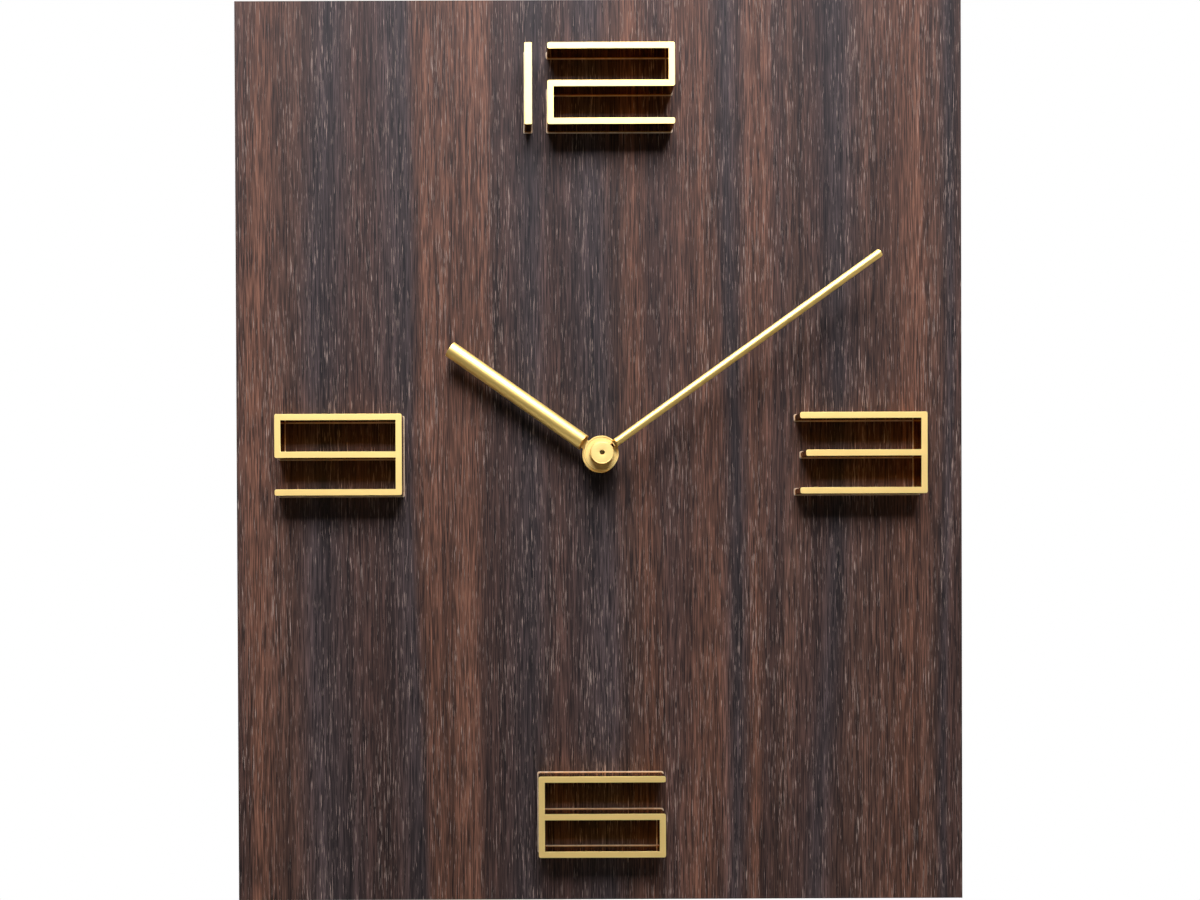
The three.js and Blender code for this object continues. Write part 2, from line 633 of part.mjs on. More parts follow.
function makeTrain() {
  const pinion = (count, gauge, phase, wheelFront, end) =>
    toothed(count, gauge, phase, end, pinionFront(wheelFront));

  const intermediate = wheel(teeth.intermediateWheel, size.rotor, 0, level.intermediateWheel)
    .add(pinion(teeth.intermediatePinion, size.train, phases.intermediatePinion, level.secondsWheel,
      level.intermediateWheel))
    .add(arbor(arborRear, arborFront, train.arborRadius));

  const third = wheel(teeth.thirdWheel, size.third, phases.thirdWheel, level.thirdWheel)
    .add(pinion(teeth.thirdPinion, size.centre, 0, level.centreWheel, level.thirdWheel))
    .add(arbor(arborRear, arborFront, train.arborRadius));

  const secondsBore = rod(secondsArbor.radius + seam, level.bridgeFront, arborFront, smallSteps);
  const seconds = wheel(teeth.secondsWheel, size.train, phases.secondsWheel, level.secondsWheel)
    .add(pinion(teeth.secondsPinion, size.third, 0, level.thirdWheel, level.secondsWheel))
    .subtract(secondsBore);
  const secondsRod = turned([
    [0, arborRear - train.pivot], [train.pivotRadius, arborRear - train.pivot],
    [train.pivotRadius, arborRear], [secondsArbor.radius, arborRear],
    [secondsArbor.radius, secondsArbor.rise], [0, secondsArbor.rise],
  ], smallSteps);

  const spigotBore = rod(cannon.spigotRadius + seam, pinionBack(level.centreWheel), arborFront);
  const centre = wheel(teeth.centreWheel, size.centre, phases.centreWheel, level.centreWheel)
    .subtract(spigotBore);

  return [
    onAxis(piece('intermediate_wheel', intermediate, finish.nylon), axis.intermediate),
    onAxis(piece('third_wheel', third, finish.nylon), axis.third),
    onAxis(piece('seconds_wheel', seconds, finish.nylon), axis.hands),
    onAxis(piece('seconds_arbor', secondsRod, finish.steel), axis.hands),
    onAxis(piece('centre_wheel', centre, finish.nylon), axis.hands),
  ];
}

const magnetMiddle = level.thirdWheel - train.wheel / 2;
const magnetFront = magnetMiddle + magnet.length / 2;
const rotorShoulder = magnetFront + train.overhang;

function makeRotor() {
  const ringMagnet = ring(magnet.bore, magnet.radius, magnetFront - magnet.length, magnetFront);
  const spindle = arbor(arborRear, rotorShoulder, magnet.bore - seam)
    .add(toothed(teeth.rotorPinion, size.rotor, phases.rotorPinion,
      pinionBack(level.intermediateWheel), pinionFront(level.intermediateWheel)));
  return [
    onAxis(piece('rotor_magnet', ringMagnet, finish.magnet), axis.rotor),
    onAxis(piece('rotor_pinion', spindle, finish.nylon), axis.rotor),
  ];
}

function makeMotionWork() {
  const shoulder = pinionBack(level.motionWheel) - seam;
  const spigotEnd = pinionBack(level.centreWheel);
  const cannonBody = turned([
    [cannon.bore, spigotEnd], [cannon.spigotRadius, spigotEnd], [cannon.spigotRadius, shoulder],
    [cannon.radius, shoulder], [cannon.radius, cannon.rise], [cannon.bore, cannon.rise],
    [cannon.bore, spigotEnd],
  ]);
  const cannonTeeth = toothed(teeth.cannonPinion, size.motion, phases.cannonPinion,
    pinionBack(level.motionWheel), pinionFront(level.motionWheel))
    .subtract(rod(cannon.bore, spigotEnd, overrun));

  const postBore = rod(housing.postRadius + runningGap, pinionBack(level.motionWheel), 0);
  const motion = wheel(teeth.motionWheel, size.motion, phases.motionWheel, level.motionWheel)
    .add(toothed(teeth.motionPinion, size.hour, 0, level.motionWheel, pinionFront(level.hourWheel)))
    .subtract(postBore);

  const pipeBore = rod(cannon.radius + runningGap, level.motionWheel, hourPipe.rise + overrun);
  const hour = toothed(teeth.hourWheel, size.hour, phases.hourWheel, level.hourWheel - train.wheel,
    level.hourWheel)
    .add(rod(hourPipe.radius, level.hourWheel - train.wheel, hourPipe.rise))
    .subtract(pipeBore);
  return [
    piece('cannon_pinion', cannonBody.add(cannonTeeth), finish.brass),
    onAxis(piece('motion_wheel', motion, finish.nylon), axis.motion),
    piece('hour_wheel', hour, finish.brass),
  ];
}

// Setting knob: a ribbed disc in a well of the rear case, with its pinion on a long stem

const wellDepth = knob.thickness + clearance + housing.batteryRecess;
const knobBack = level.caseBack + housing.batteryRecess;

function makeKnob() {
  const knobFront = knobBack + knob.thickness;
  const ribPoints = [];
  for (let i = 0; i < 2 * knob.ribs; i++) {
    const radius = i % 2 ? knob.radius : knob.radius - knob.rib;
    ribPoints.push(place(axis.hands, radius, 180 * i / knob.ribs));
  }
  const front = pinionFront(level.motionWheel);
  const stem = turned([
    [0, knobBack + seam], [knob.stem, knobBack + seam], [knob.stem, pinionBack(level.motionWheel)],
    [knob.stem, front], [train.pivotRadius, front], [train.pivotRadius, front + train.pivot],
    [0, front + train.pivot],
  ], smallSteps);
  const body = plate(new THREE.Shape(ribPoints), knobBack, knobFront)
    .add(stem)
    .add(toothed(teeth.knobPinion, size.motion, phases.knobPinion, pinionBack(level.motionWheel), front));
  return onAxis(piece('setting_knob', body, finish.black), axis.knob);
}

// Housing

function boss(spot, end) {
  return at(rod(housing.bossRadius, end, level.caseInner + seam, smallSteps), spot);
}

function socket(spot, end) {
  return at(rod(housing.socketRadius, end - overrun, end + housing.socketDepth, smallSteps), spot);
}

const circuitBack = level.caseInner - circuit.depth - circuit.thickness;
const circuitFront = level.caseInner - circuit.depth;
const circuitCentre = new THREE.Vector2(
  -inner.halfWidth + contact.wallGap + contact.thickness + clearance + circuit.width / 2,
  inner.top - contact.wallGap - contact.thickness - clearance - circuit.height / 2,
);
const circuitPosts = [-1, 1].map(side => new THREE.Vector2(
  circuitCentre.x + side * (circuit.width / 2 - 2 * circuit.postRadius), circuitCentre.y));

function makeFrontCase() {
  const outer = rectangle(inner.width + 2 * housing.wall, inner.height + 2 * housing.wall, housing.corner,
    inner.middle);
  const lipWidth = inner.width - 2 * housing.lipGap;
  const lipHeight = inner.height - 2 * housing.lipGap;
  const lipEnd = level.caseInner - housing.lipHeight;
  const lipOuter = rectangle(lipWidth, lipHeight, 0, inner.middle);
  const lipInner = rectangle(lipWidth - 2 * housing.lip, lipHeight - 2 * housing.lip, 0, inner.middle);
  const lip = plate(lipOuter, lipEnd, level.caseInner + seam)
    .subtract(plate(lipInner, lipEnd - overrun, level.caseInner + overrun));

  const knobSocketEnd = pinionFront(level.motionWheel) + clearance;
  const rotorSocketEnd = rotorShoulder + train.overhang;
  const trainSocketEnd = arborFront + train.overhang;
  let body = plate(outer, level.caseInner, level.caseFront)
    .add(lip)
    .add(boss(axis.third, trainSocketEnd))
    .add(boss(axis.intermediate, trainSocketEnd))
    .add(boss(axis.rotor, rotorSocketEnd))
    .add(boss(axis.knob, knobSocketEnd))
    .add(at(rod(housing.postRadius, pinionBack(level.motionWheel), level.caseInner + seam), axis.motion));
  for (const pillar of pillars) {
    body = body
      .add(at(rod(housing.pillarRadius, level.bridgeFront + seam, level.caseInner + seam, smallSteps), pillar))
      .add(at(rod(housing.spigotRadius, level.bridgeBack, level.caseInner, smallSteps), pillar));
  }
  for (const post of circuitPosts) {
    body = body.add(at(rod(circuit.postRadius, circuitFront + seam, level.caseInner + seam, smallSteps), post));
  }
  body = body
    .subtract(socket(axis.third, trainSocketEnd))
    .subtract(socket(axis.intermediate, trainSocketEnd))
    .subtract(socket(axis.rotor, rotorSocketEnd))
    .subtract(socket(axis.knob, knobSocketEnd))
    .subtract(rod(bush.radius + runningGap, level.caseInner - overrun, level.caseFront + overrun))
    .subtract(rod(bush.flangeRadius + runningGap, level.caseInner - overrun,
      level.caseInner + bush.flange + 2 * seam));
  return piece('movement_front_case', body, finish.black);
}

function makeRearCase() {
  const outer = rectangle(inner.width + 2 * housing.wall, inner.height + 2 * housing.wall, housing.corner,
    inner.middle);
  const cavity = rectangle(inner.width, inner.height, 0, inner.middle);
  const wallFront = level.caseInner - seam;
  const bayCentre = new THREE.Vector2(0, (bay.top + bay.bottom) / 2);
  const bayOpening = rectangle(inner.width, bay.top - bay.bottom, 0, bayCentre);
  const stripRoom = housing.contactRoom + clearance;
  const bayWall = rectangle(inner.width - 2 * stripRoom, housing.bayWall, 0,
    new THREE.Vector2(0, bay.top + housing.bayWall / 2));
  const wellRadius = knob.radius + knob.wellGap;
  const wellEnd = level.caseBack + wellDepth;
  const cup = rod(wellRadius + housing.wellFloor, level.caseBack, wellEnd + housing.wellFloor);
  const body = plate(outer, level.caseBack, wallFront)
    .subtract(plate(cavity, level.caseFloor, wallFront + overrun))
    .subtract(plate(bayOpening, level.caseBack - overrun, level.caseFloor + overrun))
    .add(plate(bayWall, level.caseBack, wallFront - clearance))
    .add(at(cup, axis.knob))
    .subtract(at(rod(wellRadius, level.caseBack - overrun, wellEnd), axis.knob))
    .subtract(at(rod(knob.stem + runningGap, wellEnd - overrun, wallFront), axis.knob));
  return piece('movement_rear_case', body, finish.black);
}

function makeBridge() {
  const { bridgeFront, bridgeBack } = level;
  const arms = [
    [axis.hands, axis.third], [axis.third, leftPillar], [axis.third, upperPillar],
    [axis.hands, lowerPillar], [axis.hands, axis.intermediate], [axis.intermediate, axis.rotor],
    [axis.rotor, rightPillar],
  ];
  const eye = rod(train.bridgeEye, bridgeBack, bridgeFront, 2 * smallSteps);
  let body = eye;
  for (const spot of [axis.third, axis.intermediate, axis.rotor, ...pillars]) {
    body = body.add(at(eye, spot));
  }
  for (const [from, to] of arms) {
    body = body.add(plate(strip([from, to], train.bridgeArm), bridgeBack, bridgeFront));
  }
  const hole = radius => rod(radius, bridgeBack - overrun, bridgeFront + overrun, smallSteps);
  for (const spot of [axis.hands, axis.third, axis.intermediate, axis.rotor]) {
    body = body.subtract(at(hole(housing.socketRadius), spot));
  }
  for (const pillar of pillars) body = body.subtract(at(hole(housing.spigotRadius + pressGap), pillar));
  return piece('train_bridge', body, finish.nylon);
}

// Stepping motor: stator plate round the magnet, with the coil across its two legs

function makeMotor() {
  const front = level.thirdWheel;
  const back = level.thirdWheel - train.wheel;
  const legX = coil.length / 2 + seam + stator.leg / 2;
  const barLow = axis.intermediate.y + train.arborRadius + clearance;
  const legTop = coilCentre.y + core.width / 2;
  const legHeight = legTop - barLow;
  const bar = rectangle(2 * legX, stator.bar, 0, new THREE.Vector2(coilCentre.x, barLow + stator.bar / 2));
  let plateBody = plate(bar, back, front).add(at(rod(stator.ringRadius, back, front), axis.rotor));
  for (const side of [-1, 1]) {
    const centre = new THREE.Vector2(coilCentre.x + side * legX, barLow + legHeight / 2);
    plateBody = plateBody.add(plate(rectangle(stator.leg, legHeight, 0, centre), back, front));
  }
  plateBody = plateBody.subtract(at(rod(magnet.radius + clearance, back - overrun, front + overrun), axis.rotor));

  const coreFront = back - seam;
  const coreMiddle = coreFront - core.thickness / 2;
  const coreBody = plate(rectangle(2 * legX + stator.leg, core.width, 0, coilCentre),
    coreFront - core.thickness, coreFront);

  const half = coil.length / 2;
  const bobbin = turned([
    [coil.bore, -half], [coil.flangeRadius, -half], [coil.flangeRadius, coil.flange - half],
    [coil.tube, coil.flange - half], [coil.tube, half - coil.flange],
    [coil.flangeRadius, half - coil.flange], [coil.flangeRadius, half], [coil.bore, half],
    [coil.bore, -half],
  ]);
  const turns = half - coil.flange - seam;
  const winding = ring(coil.tube + seam, coil.windingRadius, -turns, turns);
  const lying = mesh => {
    mesh.position.set(coilCentre.x, coilCentre.y, coreMiddle);
    mesh.rotation.y = Math.PI / 2;
    return mesh;
  };
  return [
    piece('stator', plateBody, finish.steel),
    piece('coil_core', coreBody, finish.steel),
    lying(piece('coil_bobbin', bobbin, finish.nylon)),
    lying(piece('coil_winding', winding, finish.copper)),
  ];
}

// Circuit board, with the chip under its cap and the quartz crystal in its can

function makeCircuit() {
  const boardBody = plate(rectangle(circuit.width, circuit.height, 0, circuitCentre), circuitBack, circuitFront);
  const { chipRadius, chip, crystalRadius, crystal } = circuit;
  const chipShares = [[1, 0], [0.82, 0.6], [0.45, 0.92], [0, 1]];
  const dome = turned([[0, 0], ...chipShares.map(([r, h]) => [r * chipRadius, h * chip])], smallSteps);
  const chipMesh = piece('chip_cap', dome.rotate([180, 0, 0]), finish.black);
  chipMesh.position.set(circuitCentre.x - crystal / 2 - clearance, circuitCentre.y, circuitBack - seam);
  const can = piece('quartz_crystal', rod(crystalRadius, -crystal / 2, crystal / 2, smallSteps), finish.steel);
  can.position.set(circuitCentre.x + chipRadius + clearance, circuitCentre.y, circuitBack - seam - crystalRadius);
  can.rotation.y = Math.PI / 2;
  return [piece('circuit_board', boardBody, finish.board), chipMesh, can];
}

// Battery contacts: bent strips that bow against the cell and run to the circuit board

function makeContacts() {
  const zFrom = level.battery - contact.width / 2;
  const zTo = level.battery + contact.width / 2;
  const wallX = inner.halfWidth - contact.wallGap - contact.thickness / 2;
  const topY = inner.top - contact.wallGap - contact.thickness / 2;
  const circuitTop = circuitCentre.y + circuit.height / 2;
  const circuitEnd = circuitCentre.x + circuit.width / 2 - circuit.postRadius;
  const bow = housing.contactRoom - contact.wallGap - contact.thickness - pressGap;
  const positive = strip([
    new THREE.Vector2(wallX, bay.middle - contact.spread / 2),
    new THREE.Vector2(wallX - bow, bay.middle),
    new THREE.Vector2(wallX, bay.middle + contact.spread / 2), new THREE.Vector2(wallX, topY),
    new THREE.Vector2(circuitEnd, topY), new THREE.Vector2(circuitEnd, circuitTop + contact.wallGap),
  ], contact.thickness);
  const negative = strip([
    new THREE.Vector2(-wallX, bay.middle - contact.spread / 2),
    new THREE.Vector2(-wallX + bow, bay.middle),
    new THREE.Vector2(-wallX, bay.middle + contact.spread / 2),
    new THREE.Vector2(-wallX, circuitCentre.y),
  ], contact.thickness);
  return [
    piece('positive_contact', plate(positive, zFrom, zTo), finish.steel),
    piece('negative_contact', plate(negative, zFrom, zTo), finish.steel),
  ];
}

function makeBattery() {
  const radius = battery.diameter / 2;
  const half = battery.length / 2;
  const shoulder = half - battery.nub;
  const { edge, nubRadius } = battery;
  const mesh = piece('battery_cell', turned([
    [0, -half], [radius - edge, -half], [radius, edge - half], [radius, shoulder - edge],
    [radius - edge, shoulder], [nubRadius, shoulder], [nubRadius, half], [0, half],
  ]), finish.cell);
  mesh.position.set(0, bay.middle, level.battery);
  mesh.rotation.y = Math.PI / 2;
  return mesh;
}

// Hanger plate with its keyhole, screws and wall pads

function makeHanging() {
  const { wall: wallLevel, boardBack } = level;
  const front = boardBack - seam;
  let body = plate(rectangle(hanger.width, hanger.height, hanger.corner, hangerCentre), wallLevel, front)
    .subtract(at(rod(hanger.headHole / 2, wallLevel - overrun, front + overrun), headHole))
    .subtract(arm(headHole, slotEnd, hanger.slot / 2, wallLevel - overrun, front + overrun));
  const { radius, headRadius, length } = screw;
  const head = headRadius - radius;
  const countersink = turned([
    [0, wallLevel - overrun], [headRadius + runningGap, wallLevel - overrun],
    [headRadius + runningGap, wallLevel], [radius + runningGap, wallLevel + head],
    [radius + runningGap, front + overrun], [0, front + overrun],
  ]);
  for (const spot of screwPlaces) body = body.subtract(at(countersink, spot));
  const headBack = wallLevel + seam;
  const screwBody = turned([
    [0, headBack], [headRadius, headBack], [radius, headBack + head],
    [radius, wallLevel + length - radius], [0, wallLevel + length],
  ], smallSteps);
  const padBody = rod(pad.radius, wallLevel, boardBack - seam);
  const sides = [['left', -1], ['right', 1]];
  const padX = board.width / 2 - pad.inset;
  return [
    piece('hanger_plate', body, finish.steel),
    ...sides.map(([side], i) => onAxis(piece(`hanger_screw_${side}`, screwBody, finish.steel), screwPlaces[i])),
    ...sides.map(([side, sign]) => onAxis(piece(`wall_pad_${side}`, padBody, finish.felt),
      new THREE.Vector2(sign * padX, boardBottom + pad.inset))),
  ];
}

const clock = new THREE.Group();
clock.add(
  ...makeBoard(), ...makeNumerals(), makeHourHand(), makeMinuteHand(), makeHandNut(), ...makeDialFixing(),
  makeFrontCase(), makeRearCase(), makeBridge(), ...makeTrain(), ...makeRotor(), ...makeMotionWork(),
  makeKnob(), ...makeMotor(), ...makeCircuit(), ...makeContacts(), makeBattery(), ...makeHanging(),
);
clock.rotation.x = Math.PI / 2;
clock.position.set(0, level.wall, -hangerFace);

const wallClock = new THREE.Group();
wallClock.add(clock);
export default wallClock;
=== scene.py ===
import math
import bmesh
import bpy
from mathutils import Matrix, Vector


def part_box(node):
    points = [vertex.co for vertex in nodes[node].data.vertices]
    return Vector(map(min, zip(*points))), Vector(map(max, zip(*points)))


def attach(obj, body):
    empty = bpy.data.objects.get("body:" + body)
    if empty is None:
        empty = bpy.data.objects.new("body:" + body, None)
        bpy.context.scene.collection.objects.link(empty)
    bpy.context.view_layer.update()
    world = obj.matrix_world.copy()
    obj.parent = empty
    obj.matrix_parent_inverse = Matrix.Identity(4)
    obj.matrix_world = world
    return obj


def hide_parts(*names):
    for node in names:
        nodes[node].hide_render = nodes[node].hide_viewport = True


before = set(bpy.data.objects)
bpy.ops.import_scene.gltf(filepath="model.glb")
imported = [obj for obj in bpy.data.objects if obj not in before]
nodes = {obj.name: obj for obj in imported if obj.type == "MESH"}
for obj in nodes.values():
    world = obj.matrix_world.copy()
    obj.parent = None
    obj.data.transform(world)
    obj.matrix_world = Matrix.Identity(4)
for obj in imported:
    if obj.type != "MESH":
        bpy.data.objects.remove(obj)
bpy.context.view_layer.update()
mm = 0.001
print("clock frame loaded:", len(nodes), "nodes")

bpy.context.scene.view_settings.view_transform = "Standard"

# Places taken from the frame
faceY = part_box("front_veneer")[0][1]
boardLow, boardHigh = [Vector(corner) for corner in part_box("front_veneer")]
washerLow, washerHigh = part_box("dial_washer")
handAxis = Vector(((washerLow[0] + washerHigh[0]) / 2, 0, (washerLow[2] + washerHigh[2]) / 2))


# Camera: nearly level, with a shifted lens

camera = {
    "lens": 31.436, "sensor": 36, "shiftX": 0.0731, "shiftY": 0.0948, "clip": 0.01,
    "aimX": -36.12, "aimZ": -187.72, "distance": 433.6, "pitch": -0.3, "roll": -0.233,
}


def placeCamera():
    data = bpy.data.cameras.new("photoCamera")
    data.lens = camera["lens"]
    data.sensor_width = camera["sensor"]
    data.shift_x = camera["shiftX"]
    data.shift_y = camera["shiftY"]
    data.clip_start = camera["clip"]
    photoCamera = bpy.data.objects.new("photoCamera", data)
    bpy.context.collection.objects.link(photoCamera)
    pitch = math.radians(camera["pitch"])
    roll = math.radians(camera["roll"])
    aim = Vector((camera["aimX"] * mm, faceY, camera["aimZ"] * mm))
    back = Vector((0, -math.cos(pitch), -math.sin(pitch))) * camera["distance"] * mm
    turned = Matrix.Rotation(math.radians(90) + pitch, 4, "X") @ Matrix.Rotation(roll, 4, "Z")
    photoCamera.matrix_world = Matrix.Translation(aim + back) @ turned
    bpy.context.scene.camera = photoCamera


placeCamera()


# Lights: a key softbox high in front, one over the top, two pairs at the back and the sides, in a dim room

light = {
    "keyDistance": 1.4, "keyElevation": 57, "keyWidth": 1.1, "keyHeight": 0.7, "keyPower": 58,
    "keyColour": (0.97, 0.98, 1.1),
    "topRise": 1.15, "topBack": 0.5, "topWidth": 1.3, "topDepth": 0.9, "topPower": 17,
    "backDistance": 1.6, "backElevation": 35, "backAzimuth": 50, "backSize": 1.2, "backPower": 36,
    "sideDistance": 1.2, "sideBack": 0.25, "sideRise": 0.1, "sideSize": 0.7, "sidePower": 5,
}
room = {"dim": 0.045, "overhead": 0.3, "overheadFrom": 0.62, "overheadTo": 0.85, "behind": 0.4,
        "behindFrom": 0.1, "behindTo": 0.5}


def addSoftbox(name, spot, target, width, height, power, colour=(1, 1, 1)):
    data = bpy.data.lights.new(name, "AREA")
    data.shape = "RECTANGLE"
    data.size = width
    data.size_y = height
    data.energy = power
    data.color = colour
    softbox = bpy.data.objects.new(name, data)
    bpy.context.collection.objects.link(softbox)
    softbox.location = spot
    softbox.rotation_euler = (target - spot).to_track_quat("-Z", "Y").to_euler()


def placeLights():
    middle = (boardLow + boardHigh) / 2
    up = math.radians(light["keyElevation"])
    spot = middle + Vector((0, -math.cos(up), math.sin(up))) * light["keyDistance"]
    addSoftbox("keySoftbox", spot, middle, light["keyWidth"], light["keyHeight"], light["keyPower"],
               light["keyColour"])
    over = middle + Vector((0, light["topBack"], light["topRise"]))
    addSoftbox("topSoftbox", over, middle + Vector((0, light["topBack"] / 2, 0)), light["topWidth"],
               light["topDepth"], light["topPower"])
    up = math.radians(light["backElevation"])
    for side, word in ((-1, "Left"), (1, "Right")):
        turned = math.radians(light["backAzimuth"]) * side
        away = Vector((math.sin(turned) * math.cos(up), math.cos(turned) * math.cos(up), math.sin(up)))
        size = light["backSize"]
        addSoftbox(f"backSoftbox{word}", middle + away * light["backDistance"], middle, size, size,
                   light["backPower"])
        spot = middle + Vector((side * light["sideDistance"], light["sideBack"], light["sideRise"]))
        size = light["sideSize"]
        addSoftbox(f"sideSoftbox{word}", spot, middle, size, size, light["sidePower"])


def addNode(tree, kind, inputs=None, **settings):
    node = tree.nodes.new(kind)
    for key, value in settings.items():
        setattr(node, key, value)
    for socket, value in (inputs or {}).items():
        if isinstance(value, bpy.types.NodeSocket):
            tree.links.new(value, node.inputs[socket])
        else:
            node.inputs[socket].default_value = value
    return node


def addMath(tree, operation, *values):
    return addNode(tree, "ShaderNodeMath", dict(enumerate(values)), operation=operation).outputs[0]


# A vector is scaled by a number, which has a socket of its own
def addVector(tree, operation, first, second):
    slot = 3 if operation == "SCALE" else 1
    return addNode(tree, "ShaderNodeVectorMath", {0: first, slot: second}, operation=operation).outputs[0]


def addRange(tree, value, low, high, toLow=0.0, toHigh=1.0):
    return addNode(tree, "ShaderNodeMapRange", {
        "Value": value, "From Min": low, "From Max": high, "To Min": toLow, "To Max": toHigh,
    }).outputs["Result"]


def makeRoom():
    world = bpy.data.worlds.new("studioRoom")
    bpy.context.scene.world = world
    world.use_nodes = True
    tree = world.node_tree
    tree.nodes.clear()
    direction = addNode(tree, "ShaderNodeTexCoord").outputs["Generated"]
    axes = addNode(tree, "ShaderNodeSeparateXYZ", {"Vector": direction})
    overhead = addRange(tree, axes.outputs["Z"], room["overheadFrom"], room["overheadTo"], 0,
                        room["overhead"])
    behind = addRange(tree, axes.outputs["Y"], room["behindFrom"], room["behindTo"], 0, room["behind"])
    level = addMath(tree, "ADD", addMath(tree, "MAXIMUM", overhead, behind), room["dim"])
    dim = addNode(tree, "ShaderNodeBackground", {"Strength": level})
    white = addNode(tree, "ShaderNodeBackground", {"Color": (1, 1, 1, 1)})
    seen = addNode(tree, "ShaderNodeLightPath").outputs["Is Camera Ray"]
    mix = addNode(tree, "ShaderNodeMixShader", {"Fac": seen, 1: dim.outputs[0], 2: white.outputs[0]})
    addNode(tree, "ShaderNodeOutputWorld", {"Surface": mix.outputs[0]})


# Colours are written as on a screen, from 0 to 255, and the shader takes them as amounts of light
def tint(red, green, blue):
    linear = [((c / 255 + 0.055) / 1.055) ** 2.4 if c > 10 else c / 255 / 12.92 for c in (red, green, blue)]
    return (*linear, 1)


def startMaterial(name, inputs):
    material = bpy.data.materials.new(name)
    material.use_nodes = True
    tree = material.node_tree
    shader = tree.nodes["Principled BSDF"]
    for socket, value in inputs.items():
        shader.inputs[socket].default_value = value
    return material, tree, shader


def objectPlace(tree):
    return addNode(tree, "ShaderNodeTexCoord").outputs["Object"]


def alongX(tree):
    return addNode(tree, "ShaderNodeSeparateXYZ", {"Vector": objectPlace(tree)}).outputs["X"]


def noise(tree, scale, detail=2, roughness=0.5, shift=(0, 0, 0)):
    vector = addNode(tree, "ShaderNodeMapping", {
        "Vector": objectPlace(tree), "Scale": scale, "Location": shift,
    }).outputs["Vector"]
    return addNode(tree, "ShaderNodeTexNoise", {
        "Vector": vector, "Scale": 1, "Detail": detail, "Roughness": roughness,
    }).outputs["Fac"]


# Noise of one size in all directions
def cloud(tree, scale, *settings):
    return noise(tree, (scale,) * 3, *settings)


def ramp(tree, value, stops, smooth="LINEAR"):
    node = addNode(tree, "ShaderNodeValToRGB", {"Fac": value})
    node.color_ramp.interpolation = smooth
    elements = node.color_ramp.elements
    while len(elements) > 1:
        elements.remove(elements[-1])
    elements[0].position, elements[0].color = stops[0][0], tint(*stops[0][1])
    for position, colour in stops[1:]:
        elements.new(position).color = tint(*colour)
    return node.outputs["Color"]


# In a mix of colours, sockets 6 and 7 are the two colours and output 2 is the result
def blendColours(tree, share, first, second):
    return addNode(tree, "ShaderNodeMix", {0: share, 6: first, 7: second}, data_type="RGBA").outputs[2]


def paint(tree, shader, tone):
    tree.links.new(tone, shader.inputs["Base Color"])


# Depth in millimetres
def addBump(tree, shader, height, depth):
    bump = addNode(tree, "ShaderNodeBump", {"Height": height, "Distance": depth * mm})
    tree.links.new(bump.outputs["Normal"], shader.inputs["Normal"])


# Veneer: vertical bands of tone, long soft streaks, dark lines, fine fibres and short pale pores

veneer = {
    "roughness": 0.68, "specular": 0.2, "bump": 0.05, "bandHalfWidth": 150, "sway": 7,
    "swayRange": (0.3, 0.7), "toneFrom": 0.34, "toneStep": 0.1,
    "poreShare": 0.64, "poreSpread": 0.1, "poreEdge": 0.06, "poreStrength": 0.7, "pore": (156, 135, 121),
    # Where in the noise the shade begins and ends, and the shade at both
    "streakShade": (0.34, 0.66, 0.62, 1.3), "lineShade": (0.52, 0.62, 1, 0.6),
    "fibreShade": (0.36, 0.66, 0.26, 1.85),
}
# Width and length in millimetres, detail, roughness, and a shift that sets the layer apart from the others
veneerGrain = {
    "streaks": (5, 260, 3, 0.55, 3), "lines": (1.3, 110, 2, 0.5, 31), "fibres": (0.42, 14, 2, 0.6, 17),
    "pores": (0.23, 7.5, 2, 0.5, 41), "poreGroups": (10, 260 / 3, 2, 0.5, 59), "sway": (40, 400, 1, 0.4, 71),
    "tones": (14, 300, 2, 0.5, 23),
}
veneerTones = {
    "slate": (51, 41, 39), "umber": (57, 39, 32), "walnut": (65, 44, 34), "russet": (80, 52, 38),
}
# Places of the tones across the board, in millimetres from its middle
veneerBands = [
    (-150, "umber"), (-138, "russet"), (-122, "walnut"), (-110, "slate"), (-92, "umber"), (-74, "slate"),
    (-69, "russet"), (-52, "russet"), (-44, "umber"), (-28, "slate"), (-14, "umber"), (3, "slate"),
    (14, "walnut"), (22, "russet"), (30, "umber"), (41, "russet"), (50, "slate"), (61, "russet"),
    (69, "umber"), (77, "walnut"), (86, "umber"), (95, "slate"), (107, "walnut"), (124, "russet"),
    (137, "walnut"), (145, "slate"), (150, "umber"),
]


